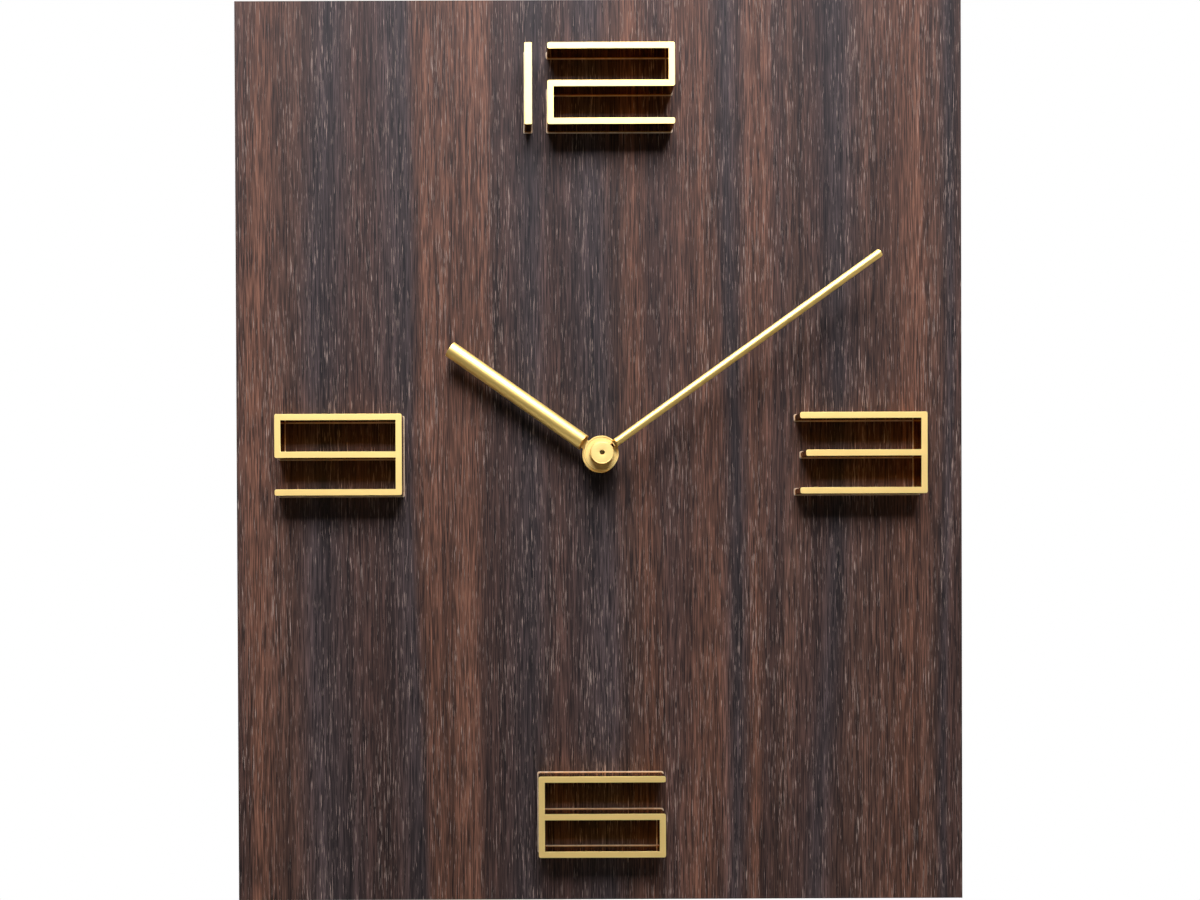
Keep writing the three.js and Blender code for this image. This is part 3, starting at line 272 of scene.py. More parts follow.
def makeVeneer(name, along, banded=False, shift=0.0):
    material, tree, shader = startMaterial(name, {
        "Roughness": veneer["roughness"], "Specular IOR Level": veneer["specular"],
    })

    def grain(layer):
        width, length, detail, roughness, offset = veneerGrain[layer]
        across, down = 1 / (width * mm), 1 / (length * mm)
        scale = [down if axis == along else across for axis in range(3)]
        return noise(tree, scale, detail, roughness, (offset + shift, offset, offset))

    if banded:
        sway, half = veneer["sway"] * mm, veneer["bandHalfWidth"]
        moved = addMath(tree, "ADD", alongX(tree),
                        addRange(tree, grain("sway"), *veneer["swayRange"], -sway, sway))
        stops = [((x / half + 1) / 2, veneerTones[word]) for x, word in veneerBands]
        tone = ramp(tree, addRange(tree, moved, -half * mm, half * mm), stops, "EASE")
    else:
        start, step = veneer["toneFrom"], veneer["toneStep"]
        stops = [(start + step * i, colour) for i, colour in enumerate(veneerTones.values())]
        tone = ramp(tree, grain("tones"), stops)
    fibres = grain("fibres")
    shade = addRange(tree, grain("streaks"), *veneer["streakShade"])
    shade = addMath(tree, "MULTIPLY", shade, addRange(tree, grain("lines"), *veneer["lineShade"]))
    shade = addMath(tree, "MULTIPLY", shade, addRange(tree, fibres, *veneer["fibreShade"]))
    tone = addVector(tree, "SCALE", tone, shade)
    spread = veneer["poreSpread"]
    gate = addMath(tree, "MULTIPLY_ADD", grain("poreGroups"), -2 * spread, veneer["poreShare"] + spread)
    pits = addRange(tree, addMath(tree, "SUBTRACT", grain("pores"), gate), 0.0, veneer["poreEdge"])
    filled = addMath(tree, "MULTIPLY", pits, veneer["poreStrength"])
    paint(tree, shader, blendColours(tree, filled, tone, tint(*veneer["pore"])))
    addBump(tree, shader, addMath(tree, "MULTIPLY_ADD", pits, -1.0, fibres), veneer["bump"])
    return material


# Metals: the roughness varies with a fine grain, and the tone with a soft cloud

metal = {"speckleDetail": 3, "speckleRoughness": 0.6, "speckleRange": (0.3, 0.7),
         "cloud": 60, "cloudShade": (0.35, 0.65, 0.0, 0.12), "darker": 0.86}
# Material, colour, roughness and its spread, size of the grain and depth of the bump in millimetres
metals = {
    "goldFace": ("goldFace", (252, 222, 142), 0.6, 0.09, (2.4, 0.5, 0.16), 0.014),
    "goldHand": ("goldHand", (254, 220, 130), 0.52, 0.05, (0.3, 0.3, 0.3), 0.004),
    # The sides' gold is darker and deeper than the face's gold: painted shade on the sides; their low
    # roughness is their real polish
    "goldSideShaded": ("goldSideShaded", (212, 158, 74), 0.1, 0.04, (0.6, 0.6, 0.6), 0.002),
    "brass": ("turnedBrass", (214, 176, 96), 0.3, 0.08, (0.4, 0.08, 0.4), 0.01),
    "steel": ("plainSteel", (196, 197, 200), 0.34, 0.08, (1.6, 0.2, 0.2), 0.012),
    "nickel": ("nickelStrip", (206, 202, 192), 0.28, 0.06, (0.2, 0.2, 1.5), 0.006),
    "copper": ("copperWire", (196, 108, 62), 0.3, 0.06, (0.1, 0.1, 0.6), 0.006),
    "magnet": ("sinteredMagnet", (96, 96, 100), 0.55, 0.08, (0.15, 0.15, 0.15), 0.02),
}


def makeMetal(name, colour, roughness, spread, grain, bump):
    material, tree, shader = startMaterial(name, {"Base Color": tint(*colour), "Metallic": 1})
    speckle = noise(tree, [1 / (size * mm) for size in grain], metal["speckleDetail"],
                    metal["speckleRoughness"])
    rough = addRange(tree, speckle, *metal["speckleRange"], roughness - spread, roughness + spread)
    tree.links.new(rough, shader.inputs["Roughness"])
    share = addRange(tree, cloud(tree, metal["cloud"]), *metal["cloudShade"])
    paint(tree, shader, blendColours(tree, share, tint(*colour),
                                     tint(*[c * metal["darker"] for c in colour])))
    addBump(tree, shader, speckle, bump)
    return material


# Plastics: a moulded pebble grain, and a cloud of a paler tone

plastic = {"cloud": 90, "cloudDetail": 3, "cloudRange": (0.3, 0.7), "paler": 1.15, "lift": 4}
# Material, colour, roughness, size of the grain and depth of the bump in millimetres
plastics = {
    "rubber": ("rubber", (30, 30, 31), 0.85, 0.25, 0.02),
    "black": ("blackMoulding", (24, 24, 26), 0.48, 0.32, 0.035),
    "nylon": ("whiteNylon", (226, 222, 210), 0.42, 0.4, 0.01),
    "phenolic": ("phenolicSheet", (122, 74, 34), 0.55, 0.5, 0.02),
}


def makePlastic(name, colour, roughness, grain, bump):
    material, tree, shader = startMaterial(name, {"Roughness": roughness})
    pebble = cloud(tree, 1 / (grain * mm))
    share = addRange(tree, cloud(tree, plastic["cloud"], plastic["cloudDetail"]), *plastic["cloudRange"])
    paler = [min(255, c * plastic["paler"] + plastic["lift"]) for c in colour]
    paint(tree, shader, blendColours(tree, share, tint(*colour), tint(*paler)))
    addBump(tree, shader, pebble, bump)
    return material


# Core, hanger block, tape, felt and the cell's sleeve

fibreboard = {
    "roughness": 0.92, "specular": 0.2, "fleck": (900, 2600, 900), "fleckDetail": 4, "fleckRoughness": 0.65,
    "tones": [(0.32, (116, 86, 58)), (0.5, (158, 124, 88)), (0.7, (186, 154, 114))],
    "cloud": 60, "cloudShade": (0.35, 0.65, 0, 0.35), "cloudTone": (140, 106, 74), "bump": 0.08,
}
beech = {
    "roughness": 0.6, "band": (12, 260, 260), "bandDetail": 3, "bandRoughness": 0.55,
    "tones": [(0.3, (176, 128, 86)), (0.55, (206, 160, 116)), (0.75, (216, 176, 132))],
    "fleck": (420, 2200, 2200), "fleckShade": (0.62, 0.68, 0, 0.6), "fleckTone": (150, 98, 62), "bump": 0.03,
}
tape = {"roughness": 0.25, "clear": 0.35, "ior": 1.45, "cloud": 700,
        "tones": [(0.3, (206, 184, 152)), (0.7, (232, 212, 182))]}
felt = {"roughness": 1.0, "sheen": 0.5, "sheenRoughness": 0.5, "fibre": 2600, "fibreDetail": 4,
        "fibreRoughness": 0.7, "tones": [(0.3, (38, 32, 28)), (0.7, (84, 72, 62))], "bump": 0.25}
sleeve = {
    "roughness": 0.3, "coat": 0.4, "half": 25, "wear": 300, "wearDetail": 3,
    "wearShade": (0.3, 0.7, 0.85, 1.05),
    "tones": [(0, (70, 92, 104)), (0.72, (206, 208, 204)), (0.75, (70, 92, 104)), (0.79, (206, 208, 204))],
}


def makeFibreboard():
    f = fibreboard
    material, tree, shader = startMaterial("fibreboard", {
        "Roughness": f["roughness"], "Specular IOR Level": f["specular"],
    })
    flecks = noise(tree, f["fleck"], f["fleckDetail"], f["fleckRoughness"])
    share = addRange(tree, cloud(tree, f["cloud"]), *f["cloudShade"])
    paint(tree, shader, blendColours(tree, share, ramp(tree, flecks, f["tones"]), tint(*f["cloudTone"])))
    addBump(tree, shader, flecks, f["bump"])
    return material


def makeBeech():
    b = beech
    material, tree, shader = startMaterial("beech", {"Roughness": b["roughness"]})
    bands = noise(tree, b["band"], b["bandDetail"], b["bandRoughness"])
    flecks = noise(tree, b["fleck"])
    dots = addRange(tree, flecks, *b["fleckShade"])
    paint(tree, shader, blendColours(tree, dots, ramp(tree, bands, b["tones"]), tint(*b["fleckTone"])))
    addBump(tree, shader, flecks, b["bump"])
    return material


def makeTape():
    material, tree, shader = startMaterial("clearTape", {
        "Roughness": tape["roughness"], "Transmission Weight": tape["clear"], "IOR": tape["ior"],
    })
    paint(tree, shader, ramp(tree, cloud(tree, tape["cloud"]), tape["tones"]))
    return material


def makeFelt():
    material, tree, shader = startMaterial("felt", {
        "Roughness": felt["roughness"], "Sheen Weight": felt["sheen"],
        "Sheen Roughness": felt["sheenRoughness"],
    })
    fibres = cloud(tree, felt["fibre"], felt["fibreDetail"], felt["fibreRoughness"])
    paint(tree, shader, ramp(tree, fibres, felt["tones"]))
    addBump(tree, shader, fibres, felt["bump"])
    return material


# A dark sleeve with one thin pale band, and a pale end at the cell's nub
def makeJacket():
    material, tree, shader = startMaterial("cellJacket", {
        "Roughness": sleeve["roughness"], "Coat Weight": sleeve["coat"],
    })
    half = sleeve["half"] * mm
    bands = ramp(tree, addRange(tree, alongX(tree), -half, half), sleeve["tones"], "CONSTANT")
    wear = addRange(tree, cloud(tree, sleeve["wear"], sleeve["wearDetail"]), *sleeve["wearShade"])
    paint(tree, shader, addVector(tree, "SCALE", bands, wear))
    return material


materials = {
    "veneerFace": makeVeneer("veneerFace", 2, banded=True),
    "veneerBack": makeVeneer("veneerBack", 2, shift=7.3),
    "veneerSide": makeVeneer("veneerSide", 2, shift=2.1),
    "veneerEnd": makeVeneer("veneerEnd", 0, shift=5.9),
    **{finish: makeMetal(*values) for finish, values in metals.items()},
    **{finish: makePlastic(*values) for finish, values in plastics.items()},
    "fibreboard": makeFibreboard(), "beech": makeBeech(), "tape": makeTape(), "felt": makeFelt(),
    "jacket": makeJacket(),
}
print("finishes made:", len(materials))

finishNodes = {
    "veneerFace": ["front_veneer"], "veneerBack": ["back_veneer"],
    "veneerSide": ["edge_band_left", "edge_band_right"], "veneerEnd": ["edge_band_top", "edge_band_bottom"],
    "fibreboard": ["board_core"], "beech": ["hanger_block"], "felt": ["wall_pad_left", "wall_pad_right"],
    "brass": ["dial_washer", "fixing_nut", "threaded_bush", "hour_wheel", "cannon_pinion", "seconds_arbor"],
    "steel": ["stator", "coil_core", "quartz_crystal", "hanger_plate", "hanger_screw_left",
              "hanger_screw_right"],
    "nickel": ["positive_contact", "negative_contact"], "magnet": ["rotor_magnet"],
    "copper": ["coil_winding"], "rubber": ["rubber_washer"], "phenolic": ["circuit_board"],
    "jacket": ["battery_cell"],
    "black": ["movement_front_case", "movement_rear_case", "setting_knob", "chip_cap"],
    "nylon": ["train_bridge", "centre_wheel", "third_wheel", "seconds_wheel", "intermediate_wheel",
              "rotor_pinion", "motion_wheel", "coil_bobbin"],
}
nodeFinish = {node: finish for finish, group in finishNodes.items() for node in group}


def dressNodes():
    for name, node in nodes.items():
        if name.endswith("_tape"):
            finish = "tape"
        elif name.startswith("numeral"):
            finish = "goldFace"
        else:
            finish = nodeFinish.get(name, "goldHand")
        node.data.materials.clear()
        node.data.materials.append(materials[finish])


dressNodes()
print("nodes dressed")


# Mesh work: distances in millimetres, angles in degrees

mesh = {"touch": 0.01, "weld": 0.001, "nodeWeld": 0.002, "flatAngle": 0.5, "edgeSegments": 2,
        "cornerSegments": 3, "edgeAngle": 35, "plateAngle": 60}


def meshFrom(name, bm):
    made = bpy.data.meshes.new(name)
    bm.to_mesh(made)
    bm.free()
    return made


# Faces of more than flatFrom square millimetres are shaded flat
def showPiece(name, bm, finishes, body, replaced=(), smooth=30, flatFrom=None):
    made = meshFrom(name, bm)
    for finish in finishes:
        made.materials.append(materials[finish])
    made.shade_smooth()
    made.set_sharp_from_angle(angle=math.radians(smooth))
    for face in made.polygons:
        if flatFrom and face.area > flatFrom * mm * mm:
            face.use_smooth = False
    piece = bpy.data.objects.new(name, made)
    bpy.context.collection.objects.link(piece)
    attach(piece, body)
    if replaced:
        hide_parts(*replaced)


def copyNode(name):
    bm = bmesh.new()
    bm.from_mesh(nodes[name].data)
    bmesh.ops.remove_doubles(bm, verts=bm.verts, dist=mesh["nodeWeld"] * mm)
    bmesh.ops.dissolve_limit(bm, angle_limit=math.radians(mesh["flatAngle"]), verts=bm.verts, edges=bm.edges)
    return bm


def liesAt(edge, axis, place):
    return all(abs(vert.co[axis] - place) < mesh["touch"] * mm for vert in edge.verts)


def bevelEdges(bm, edges, width, **settings):
    bmesh.ops.bevel(bm, geom=edges, offset=width * mm, segments=mesh["edgeSegments"], affect="EDGES",
                    profile=0.5, **settings)


def softenEdges(bm, width, angle, test=lambda edge: True):
    limit = math.radians(angle)
    edges = [edge for edge in bm.edges
             if len(edge.link_faces) == 2 and edge.calc_face_angle(0) > limit and test(edge)]
    bevelEdges(bm, edges, width, clamp_overlap=True)


# Numerals: brushed faces and polished sides, on clear tape; the sides' darker gold is painted shade

numeralEdge = {"bevel": 0.06, "frontShare": 0.3, "flatFrom": 3}
numeralNames = {
    "numeral_12_one": "twelveBar", "numeral_12_two": "twelveFigure", "numeral_3": "threeFigure",
    "numeral_6": "sixFigure", "numeral_9": "nineFigure",
}


def makeNumerals():
    for node, name in numeralNames.items():
        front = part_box(node)[0][1]
        bm = copyNode(node)
        softenEdges(bm, numeralEdge["bevel"], mesh["edgeAngle"], lambda edge: liesAt(edge, 1, front))
        for face in bm.faces:
            # Sideways faces take the darker gold, painted shade on the sides
            face.material_index = 0 if face.normal.y < -numeralEdge["frontShare"] else 1
        showPiece(name, bm, ["goldFace", "goldSideShaded"], "clock_body", [node],
                  flatFrom=numeralEdge["flatFrom"])
    print("numerals made:", len(numeralNames))


makeNumerals()


# Geometry Nodes: trees that turn a section round an axis, repeat a shape, cut screws, lay beads, wind a wire

def newTree(name, sockets):
    tree = bpy.data.node_groups.new(name, "GeometryNodeTree")
    tree.interface.new_socket("Geometry", in_out="INPUT", socket_type="NodeSocketGeometry")
    for socket, kind in sockets.items():
        tree.interface.new_socket(socket, in_out="INPUT", socket_type=f"NodeSocket{kind}")
    tree.interface.new_socket("Material", in_out="INPUT", socket_type="NodeSocketMaterial")
    tree.interface.new_socket("Geometry", in_out="OUTPUT", socket_type="NodeSocketGeometry")
    return tree, addNode(tree, "NodeGroupInput").outputs


def endTree(tree, given, geometry):
    real = addNode(tree, "GeometryNodeRealizeInstances", {"Geometry": geometry}).outputs[0]
    dressed = addNode(tree, "GeometryNodeSetMaterial",
                      {"Geometry": real, "Material": given["Material"]}).outputs[0]
    addNode(tree, "NodeGroupOutput", {0: dressed})
    return tree


# The section's points carry the radius in X, the place along the axis in Y and the slant in Z
def makeTurnTree():
    tree, given = newTree("turnSection", {
        "Steps": "Int", "Centre": "Vector", "Along": "Vector", "Side": "Vector", "Out": "Vector",
    })
    rows = addNode(tree, "GeometryNodeAttributeDomainSize",
                   {"Geometry": given["Geometry"]}).outputs["Point Count"]
    columns = addMath(tree, "ADD", given["Steps"], 1.0)
    sheet = addNode(tree, "GeometryNodeMeshGrid", {"Vertices X": rows, "Vertices Y": columns}).outputs["Mesh"]
    index = addNode(tree, "GeometryNodeInputIndex").outputs[0]
    row = addMath(tree, "FLOOR", addMath(tree, "DIVIDE", addMath(tree, "ADD", index, 0.5), columns))
    column = addMath(tree, "SUBTRACT", index, addMath(tree, "MULTIPLY", row, columns))
    angle = addMath(tree, "MULTIPLY", addMath(tree, "DIVIDE", column, given["Steps"]), 2 * math.pi)
    spot = addNode(tree, "GeometryNodeSampleIndex", {
        "Geometry": given["Geometry"], "Value": addNode(tree, "GeometryNodeInputPosition").outputs[0],
        "Index": row,
    }, data_type="FLOAT_VECTOR").outputs[0]
    radius, place, slant = addNode(tree, "ShaderNodeSeparateXYZ", {0: spot}).outputs
    rise = addMath(tree, "SINE", angle)
    place = addMath(tree, "MULTIPLY_ADD", slant, addMath(tree, "MULTIPLY_ADD", rise, 0.5, 0.5), place)
    across = addMath(tree, "MULTIPLY", radius, addMath(tree, "COSINE", angle))
    out = addMath(tree, "MULTIPLY", radius, rise)
    position = given["Centre"]
    for axis, reach in (("Along", place), ("Side", across), ("Out", out)):
        position = addVector(tree, "ADD", position, addVector(tree, "SCALE", given[axis], reach))
    moved = addNode(tree, "GeometryNodeSetPosition", {"Geometry": sheet, "Position": position}).outputs[0]
    merged = addNode(tree, "GeometryNodeMergeByDistance", {
        "Geometry": moved, "Distance": mesh["weld"] * mm,
    }).outputs[0]
    return endTree(tree, given, merged)


def addRow(tree, given, shape, **settings):
    places = addNode(tree, "GeometryNodeMeshLine", {
        "Count": given["Count"], "Start Location": given["Start"], "Offset": given["Offset"],
    }).outputs[0]
    return addNode(tree, "GeometryNodeInstanceOnPoints", {
        "Points": places, "Instance": shape, **settings,
    }).outputs[0]


# Copies of the given shape, each moved by Offset and turned by Turn from the one before
def makeRepeatTree():
    tree, given = newTree("repeatShape", {"Count": "Int", "Start": "Vector", "Offset": "Vector",
                                          "Turn": "Vector"})
    turned = addVector(tree, "SCALE", given["Turn"], addNode(tree, "GeometryNodeInputIndex").outputs[0])
    return endTree(tree, given, addRow(tree, given, given["Geometry"], Rotation=turned))


# A cross recess is cut in the head of the given screw, and the screw is repeated in a row
def makeScrewTree():
    tree, given = newTree("recessedScrews", {
        "Count": "Int", "Start": "Vector", "Offset": "Vector", "Recess Long": "Vector",
        "Recess Wide": "Vector", "Recess Place": "Vector", "Turn": "Vector",
    })
    bars = addNode(tree, "GeometryNodeJoinGeometry")
    for size in ("Recess Long", "Recess Wide"):
        bar = addNode(tree, "GeometryNodeMeshCube", {"Size": given[size]}).outputs["Mesh"]
        tree.links.new(bar, bars.inputs[0])
    placed = addNode(tree, "GeometryNodeTransform", {
        "Geometry": bars.outputs[0], "Translation": given["Recess Place"], "Rotation": given["Turn"],
    }).outputs[0]
    cut = addNode(tree, "GeometryNodeMeshBoolean", {"Mesh 1": given["Geometry"], "Mesh 2": placed},
                  operation="DIFFERENCE").outputs[0]
    return endTree(tree, given, addRow(tree, given, cut))


def addWire(tree, given, path):
    ring = addNode(tree, "GeometryNodeCurvePrimitiveCircle",
                   {"Resolution": given["Sides"], "Radius": given["Wire"]})
    return addNode(tree, "GeometryNodeCurveToMesh", {
        "Curve": path, "Profile Curve": ring.outputs[0], "Fill Caps": True,
    }).outputs[0]


# Beads along the given edges
def makeBeadTree():
    tree, given = newTree("beadsOnEdges", {"Wire": "Float", "Sides": "Int"})
    path = addNode(tree, "GeometryNodeMeshToCurve", {"Mesh": given["Geometry"]}).outputs[0]
    return endTree(tree, given, addWire(tree, given, path))


# A wire wound in one layer round the X axis
def makeWindingTree():
    tree, given = newTree("woundWire", {
        "Turns": "Float", "Steps": "Int", "Radius": "Float", "Length": "Float", "Wire": "Float",
        "Sides": "Int", "Centre": "Vector",
    })
    helix = addNode(tree, "GeometryNodeCurveSpiral", {
        "Resolution": given["Steps"], "Rotations": given["Turns"], "Start Radius": given["Radius"],
        "End Radius": given["Radius"], "Height": given["Length"],
    }).outputs[0]
    middle = addNode(tree, "ShaderNodeCombineXYZ",
                     {"Z": addMath(tree, "MULTIPLY", given["Length"], -0.5)}).outputs[0]
    centred = addNode(tree, "GeometryNodeTransform", {"Geometry": helix, "Translation": middle}).outputs[0]
    laid = addNode(tree, "GeometryNodeTransform", {
        "Geometry": centred, "Translation": given["Centre"], "Rotation": (0, math.pi / 2, 0),
    }).outputs[0]
    return endTree(tree, given, addWire(tree, given, laid))


trees = {
    "turn": makeTurnTree(), "repeat": makeRepeatTree(), "screws": makeScrewTree(), "beads": makeBeadTree(),
    "winding": makeWindingTree(),
}


# Runs a tree on a mesh, which it uses up, and returns the result as a plain mesh
def growMesh(treeName, base, finish, sizes):
    tree = trees[treeName]
    holder = bpy.data.objects.new(tree.name, base)
    bpy.context.collection.objects.link(holder)
    modifier = holder.modifiers.new(tree.name, "NODES")
    modifier.node_group = tree
    given = {**sizes, "Material": materials[finish]}
    for item in tree.interface.items_tree:
        if item.in_out == "INPUT" and item.name in given:
            modifier[item.identifier] = given[item.name]
    grown = bpy.data.meshes.new_from_object(holder.evaluated_get(bpy.context.evaluated_depsgraph_get()))
    holder.modifiers.remove(modifier)
    bpy.data.objects.remove(holder)
    bpy.data.meshes.remove(base)
    return grown


def pathMesh(name, points, edges=()):
    path = bpy.data.meshes.new(name)
    path.from_pydata([tuple(point) for point in points], edges, [])
    return path


# Adds a mesh, which it uses up, to a piece in the making, with its faces turned outwards
def gather(bm, grown, finishIndex=0, outwards=True):
    part = bmesh.new()
    part.from_mesh(grown)
    bmesh.ops.remove_doubles(part, verts=part.verts, dist=mesh["weld"] * mm)
    if outwards:
        bmesh.ops.recalc_face_normals(part, faces=part.faces)
    for face in part.faces:
        face.material_index = finishIndex
    joined = meshFrom("joined", part)
    bm.from_mesh(joined)
    for used in (grown, joined):
        bpy.data.meshes.remove(used)


# Rounds each marked corner of a profile of (radius, depth, rounding) points
def roundedProfile(points, closed):
    segments = mesh["cornerSegments"]
    out = []
    for i, (x, y, rounding) in enumerate(points):
        inside = closed or 0 < i < len(points) - 1
        if rounding == 0 or not inside:
            out.append((x * mm, y * mm))
            continue
        here = Vector((x, y))
        before = (Vector(points[i - 1][:2]) - here).normalized()
        after = (Vector(points[(i + 1) % len(points)][:2]) - here).normalized()
        enter, leave = here + before * rounding, here + after * rounding
        for k in range(segments + 1):
            t = k / segments
            spot = enter * (1 - t) ** 2 + here * 2 * t * (1 - t) + leave * t ** 2
            out.append((spot.x * mm, spot.y * mm))
    return out


depthAxes = {"Along": (0, 1, 0), "Side": (1, 0, 0), "Out": (0, 0, 1)}
widthAxes = {"Along": (1, 0, 0), "Side": (0, 0, 1), "Out": (0, -1, 0)}


def turn(points, centre, finish, steps, closed=False, axes=depthAxes):
    spots = [(*point, 0) for point in roundedProfile(points, closed)]
    if closed:
        spots.append(spots[0])
    return growMesh("turn", pathMesh("section", spots), finish, {"Steps": steps, "Centre": centre, **axes})


# Hands: measured from the front face, with the hand's own turn from twelve

hourHand = {
    "degrees": 305.2, "reach": 74.9, "tube": 6.6, "wall": 0.4, "tipWall": 0.8, "start": 7.7,
    "mouthSlant": 1.5, "axisRise": 6, "tipRound": 0.25, "discRadius": 7.35, "disc": 0.6, "discRise": 4.2,
    "discBackRound": 0.12, "discFrontRound": 0.15, "colletRadius": 3.8, "collet": 1.6, "colletFootRound": 0.1,
    "colletRound": 0.12, "bore": 2.7, "tongueWidth": 4, "tongueReach": 16,
}
minuteHand = {
    "degrees": 54.5, "reach": 137.2, "tube": 3.3, "wall": 0.35, "tipWall": 0.6, "start": 5.9,
    "mouthSlant": 1.2, "axisRise": 12.95, "tipRound": 0.2, "discRadius": 7.05, "disc": 0.6, "discRise": 10.5,
    "discBackRound": 0.12, "discFrontRound": 0.1, "colletRadius": 3, "collet": 1.9, "colletRound": 0.1,
    "bore": 1.8, "lip": 0.14, "lipWidth": 0.5, "lipRound": 0.05, "tongueWidth": 1.7, "tongue": 0.5,
    "tongueDrop": 0.5, "tongueReach": 13, "rampStart": 5.05, "rampEnd": 5.75,
}
handShape = {"tubeSteps": 32, "tipSteps": 4, "discSteps": 64, "tubeSmooth": 40, "faceShare": 0.75,
             "flatFrom": 1}


def handFrame(hand):
    turned = math.radians(hand["degrees"])
    along = Vector((math.sin(turned), 0, math.cos(turned)))
    side = Vector((math.cos(turned), 0, -math.sin(turned)))
    return along, side


def makeTube(hand, name, body, node):
    along, side = handFrame(hand)
    radius = hand["tube"] / 2
    bore = radius - hand["wall"]
    reach, inner = hand["reach"], hand["reach"] - hand["tipWall"]
    slant, corner, steps = hand["mouthSlant"], hand["tipRound"], handShape["tipSteps"]
    arc = [math.pi / 2 * k / steps for k in range(steps + 1)]
    section = [(0, reach, 0)]
    section += [(radius - corner * (1 - math.sin(a)), reach - corner * (1 - math.cos(a)), 0) for a in arc]
    section += [(radius, hand["start"], slant), (bore, hand["start"], slant * bore / radius),
                (bore, inner, 0), (0, inner, 0)]
    centre = handAxis + Vector((0, faceY - hand["axisRise"] * mm, 0))
    bm = bmesh.new()
    gather(bm, growMesh("turn", pathMesh("section", [Vector(spot) * mm for spot in section]), "goldHand", {
        "Steps": handShape["tubeSteps"], "Centre": centre, "Along": along, "Side": side, "Out": (0, -1, 0),
    }))
    showPiece(name, bm, ["goldHand"], body, [node], smooth=handShape["tubeSmooth"])


# A flat strip along the hand, through the given places along it and over the face
def addStrip(bm, hand, line, width, thickness):
    along, side = handFrame(hand)
    loops = []
    for i, (u, rise) in enumerate(line):
        before = Vector(line[i]) - Vector(line[max(i - 1, 0)])
        after = Vector(line[min(i + 1, len(line) - 1)]) - Vector(line[i])
        slope = (before.normalized() + after.normalized()).normalized()
        normal = Vector((-slope.y, slope.x)) * thickness / 2
        loop = []
        for s, n in ((-1, -1), (1, -1), (1, 1), (-1, 1)):
            spot = Vector((u, rise)) + normal * n
            loop.append(bm.verts.new(handAxis + along * spot.x * mm + side * s * width / 2 * mm
                                     + Vector((0, faceY - spot.y * mm, 0))))
        loops.append(loop)
    for first, second in zip(loops, loops[1:]):
        for i in range(4):
            j = (i + 1) % 4
            bm.faces.new([first[i], first[j], second[j], second[i]])
    bm.faces.new(loops[0])
    bm.faces.new(loops[-1])


# Turns a closed profile of (radius, rise over the face, rounding) points about the hands' axis
def turnOnFace(profile):
    points = [(radius, faceY / mm - rise, rounding) for radius, rise, rounding in profile]
    bm = bmesh.new()
    gather(bm, turn(points, handAxis, "goldHand", handShape["discSteps"], True))
    return bm


# Faces that look sideways get the second finish, a darker gold that paints shade on them
def showGold(name, bm, body, node, flatFrom=None):
    for face in bm.faces:
        face.material_index = 0 if abs(face.normal.y) > handShape["faceShare"] else 1
    showPiece(name, bm, ["goldFace", "goldSideShaded"], body, [node], flatFrom=flatFrom)


def makeHourHub():
    h = hourHand
    low, high, top = h["discRise"], h["discRise"] + h["disc"], h["discRise"] + h["disc"] + h["collet"]
    bm = turnOnFace([
        (h["bore"], low, 0), (h["discRadius"], low, h["discBackRound"]),
        (h["discRadius"], high, h["discFrontRound"]), (h["colletRadius"], high, h["colletFootRound"]),
        (h["colletRadius"], top, h["colletRound"]), (h["bore"], top, 0),
    ])
    middle = low + h["disc"] / 2
    addStrip(bm, h, [(h["colletRadius"], middle), (h["tongueReach"], middle)], h["tongueWidth"], h["disc"])
    bmesh.ops.recalc_face_normals(bm, faces=bm.faces)
    showGold("hourHub", bm, "hour_hand", "hour_hand_hub", handShape["flatFrom"])


def makeMinuteHub():
    h = minuteHand
    low, high, back = h["discRise"], h["discRise"] + h["disc"], h["discRise"] - h["collet"]
    rim, floor = h["discRadius"] - h["lipWidth"], high - h["lip"]
    bm = turnOnFace([
        (h["bore"], back, 0), (h["colletRadius"], back, h["colletRound"]), (h["colletRadius"], low, 0),
        (h["discRadius"], low, h["discBackRound"]), (h["discRadius"], high, h["discFrontRound"]),
        (rim, high, h["lipRound"]), (rim - h["lip"], floor, h["lipRound"]), (h["bore"], floor, 0),
    ])
    disc = high - h["tongue"] / 2
    tongue = h["axisRise"] - h["tongueDrop"]
    addStrip(bm, h, [(h["colletRadius"], disc), (h["rampStart"], disc), (h["rampEnd"], tongue),
                     (h["tongueReach"], tongue)], h["tongueWidth"], h["tongue"])
    bmesh.ops.recalc_face_normals(bm, faces=bm.faces)
    showGold("minuteHub", bm, "minute_hand", "minute_hand_hub", handShape["flatFrom"])


handNut = {"radius": 4.75, "base": 11.15, "height": 3.2, "lip": 0.6, "eye": 0.85, "eyeEdge": 0.15,
           "thread": 1.95, "slope": 0.1, "slopeDepth": 1.1, "sideRound": 0.1, "edge": 0.12, "edgeRound": 0.06,
           "ringRadius": 4.2, "ringDepth": 0.05, "ringWidth": 0.12, "ringRound": 0.02}


def makeHandNut():
    n = handNut
    top = n["base"] + n["height"]
    ring, width, groove = n["ringRadius"], n["ringWidth"], n["ringRound"]
    shoulder = n["radius"] - n["slope"]
    bm = turnOnFace([
        (n["thread"], n["base"], 0), (n["radius"], n["base"], n["sideRound"]),
        (n["radius"], top - n["slopeDepth"], n["sideRound"]), (shoulder, top - n["edge"], n["edgeRound"]),
        (shoulder - n["edge"], top, n["edgeRound"]), (ring + width, top, groove),
        (ring, top - n["ringDepth"], groove), (ring - width, top, groove),
        (n["eye"] + n["eyeEdge"], top, groove), (n["eye"], top - n["eyeEdge"], groove),
        (n["eye"], top - n["lip"], 0), (n["thread"], top - n["lip"], 0),
    ])
    bm.normal_update()
    showGold("handNut", bm, "minute_hand", "hand_nut")


makeTube(hourHand, "hourTube", "hour_hand", "hour_hand_tube")
makeTube(minuteHand, "minuteTube", "minute_hand", "minute_hand_tube")
makeHourHub()
makeMinuteHub()
makeHandNut()
print("hands made")


# Board: its front sheet and its four bands

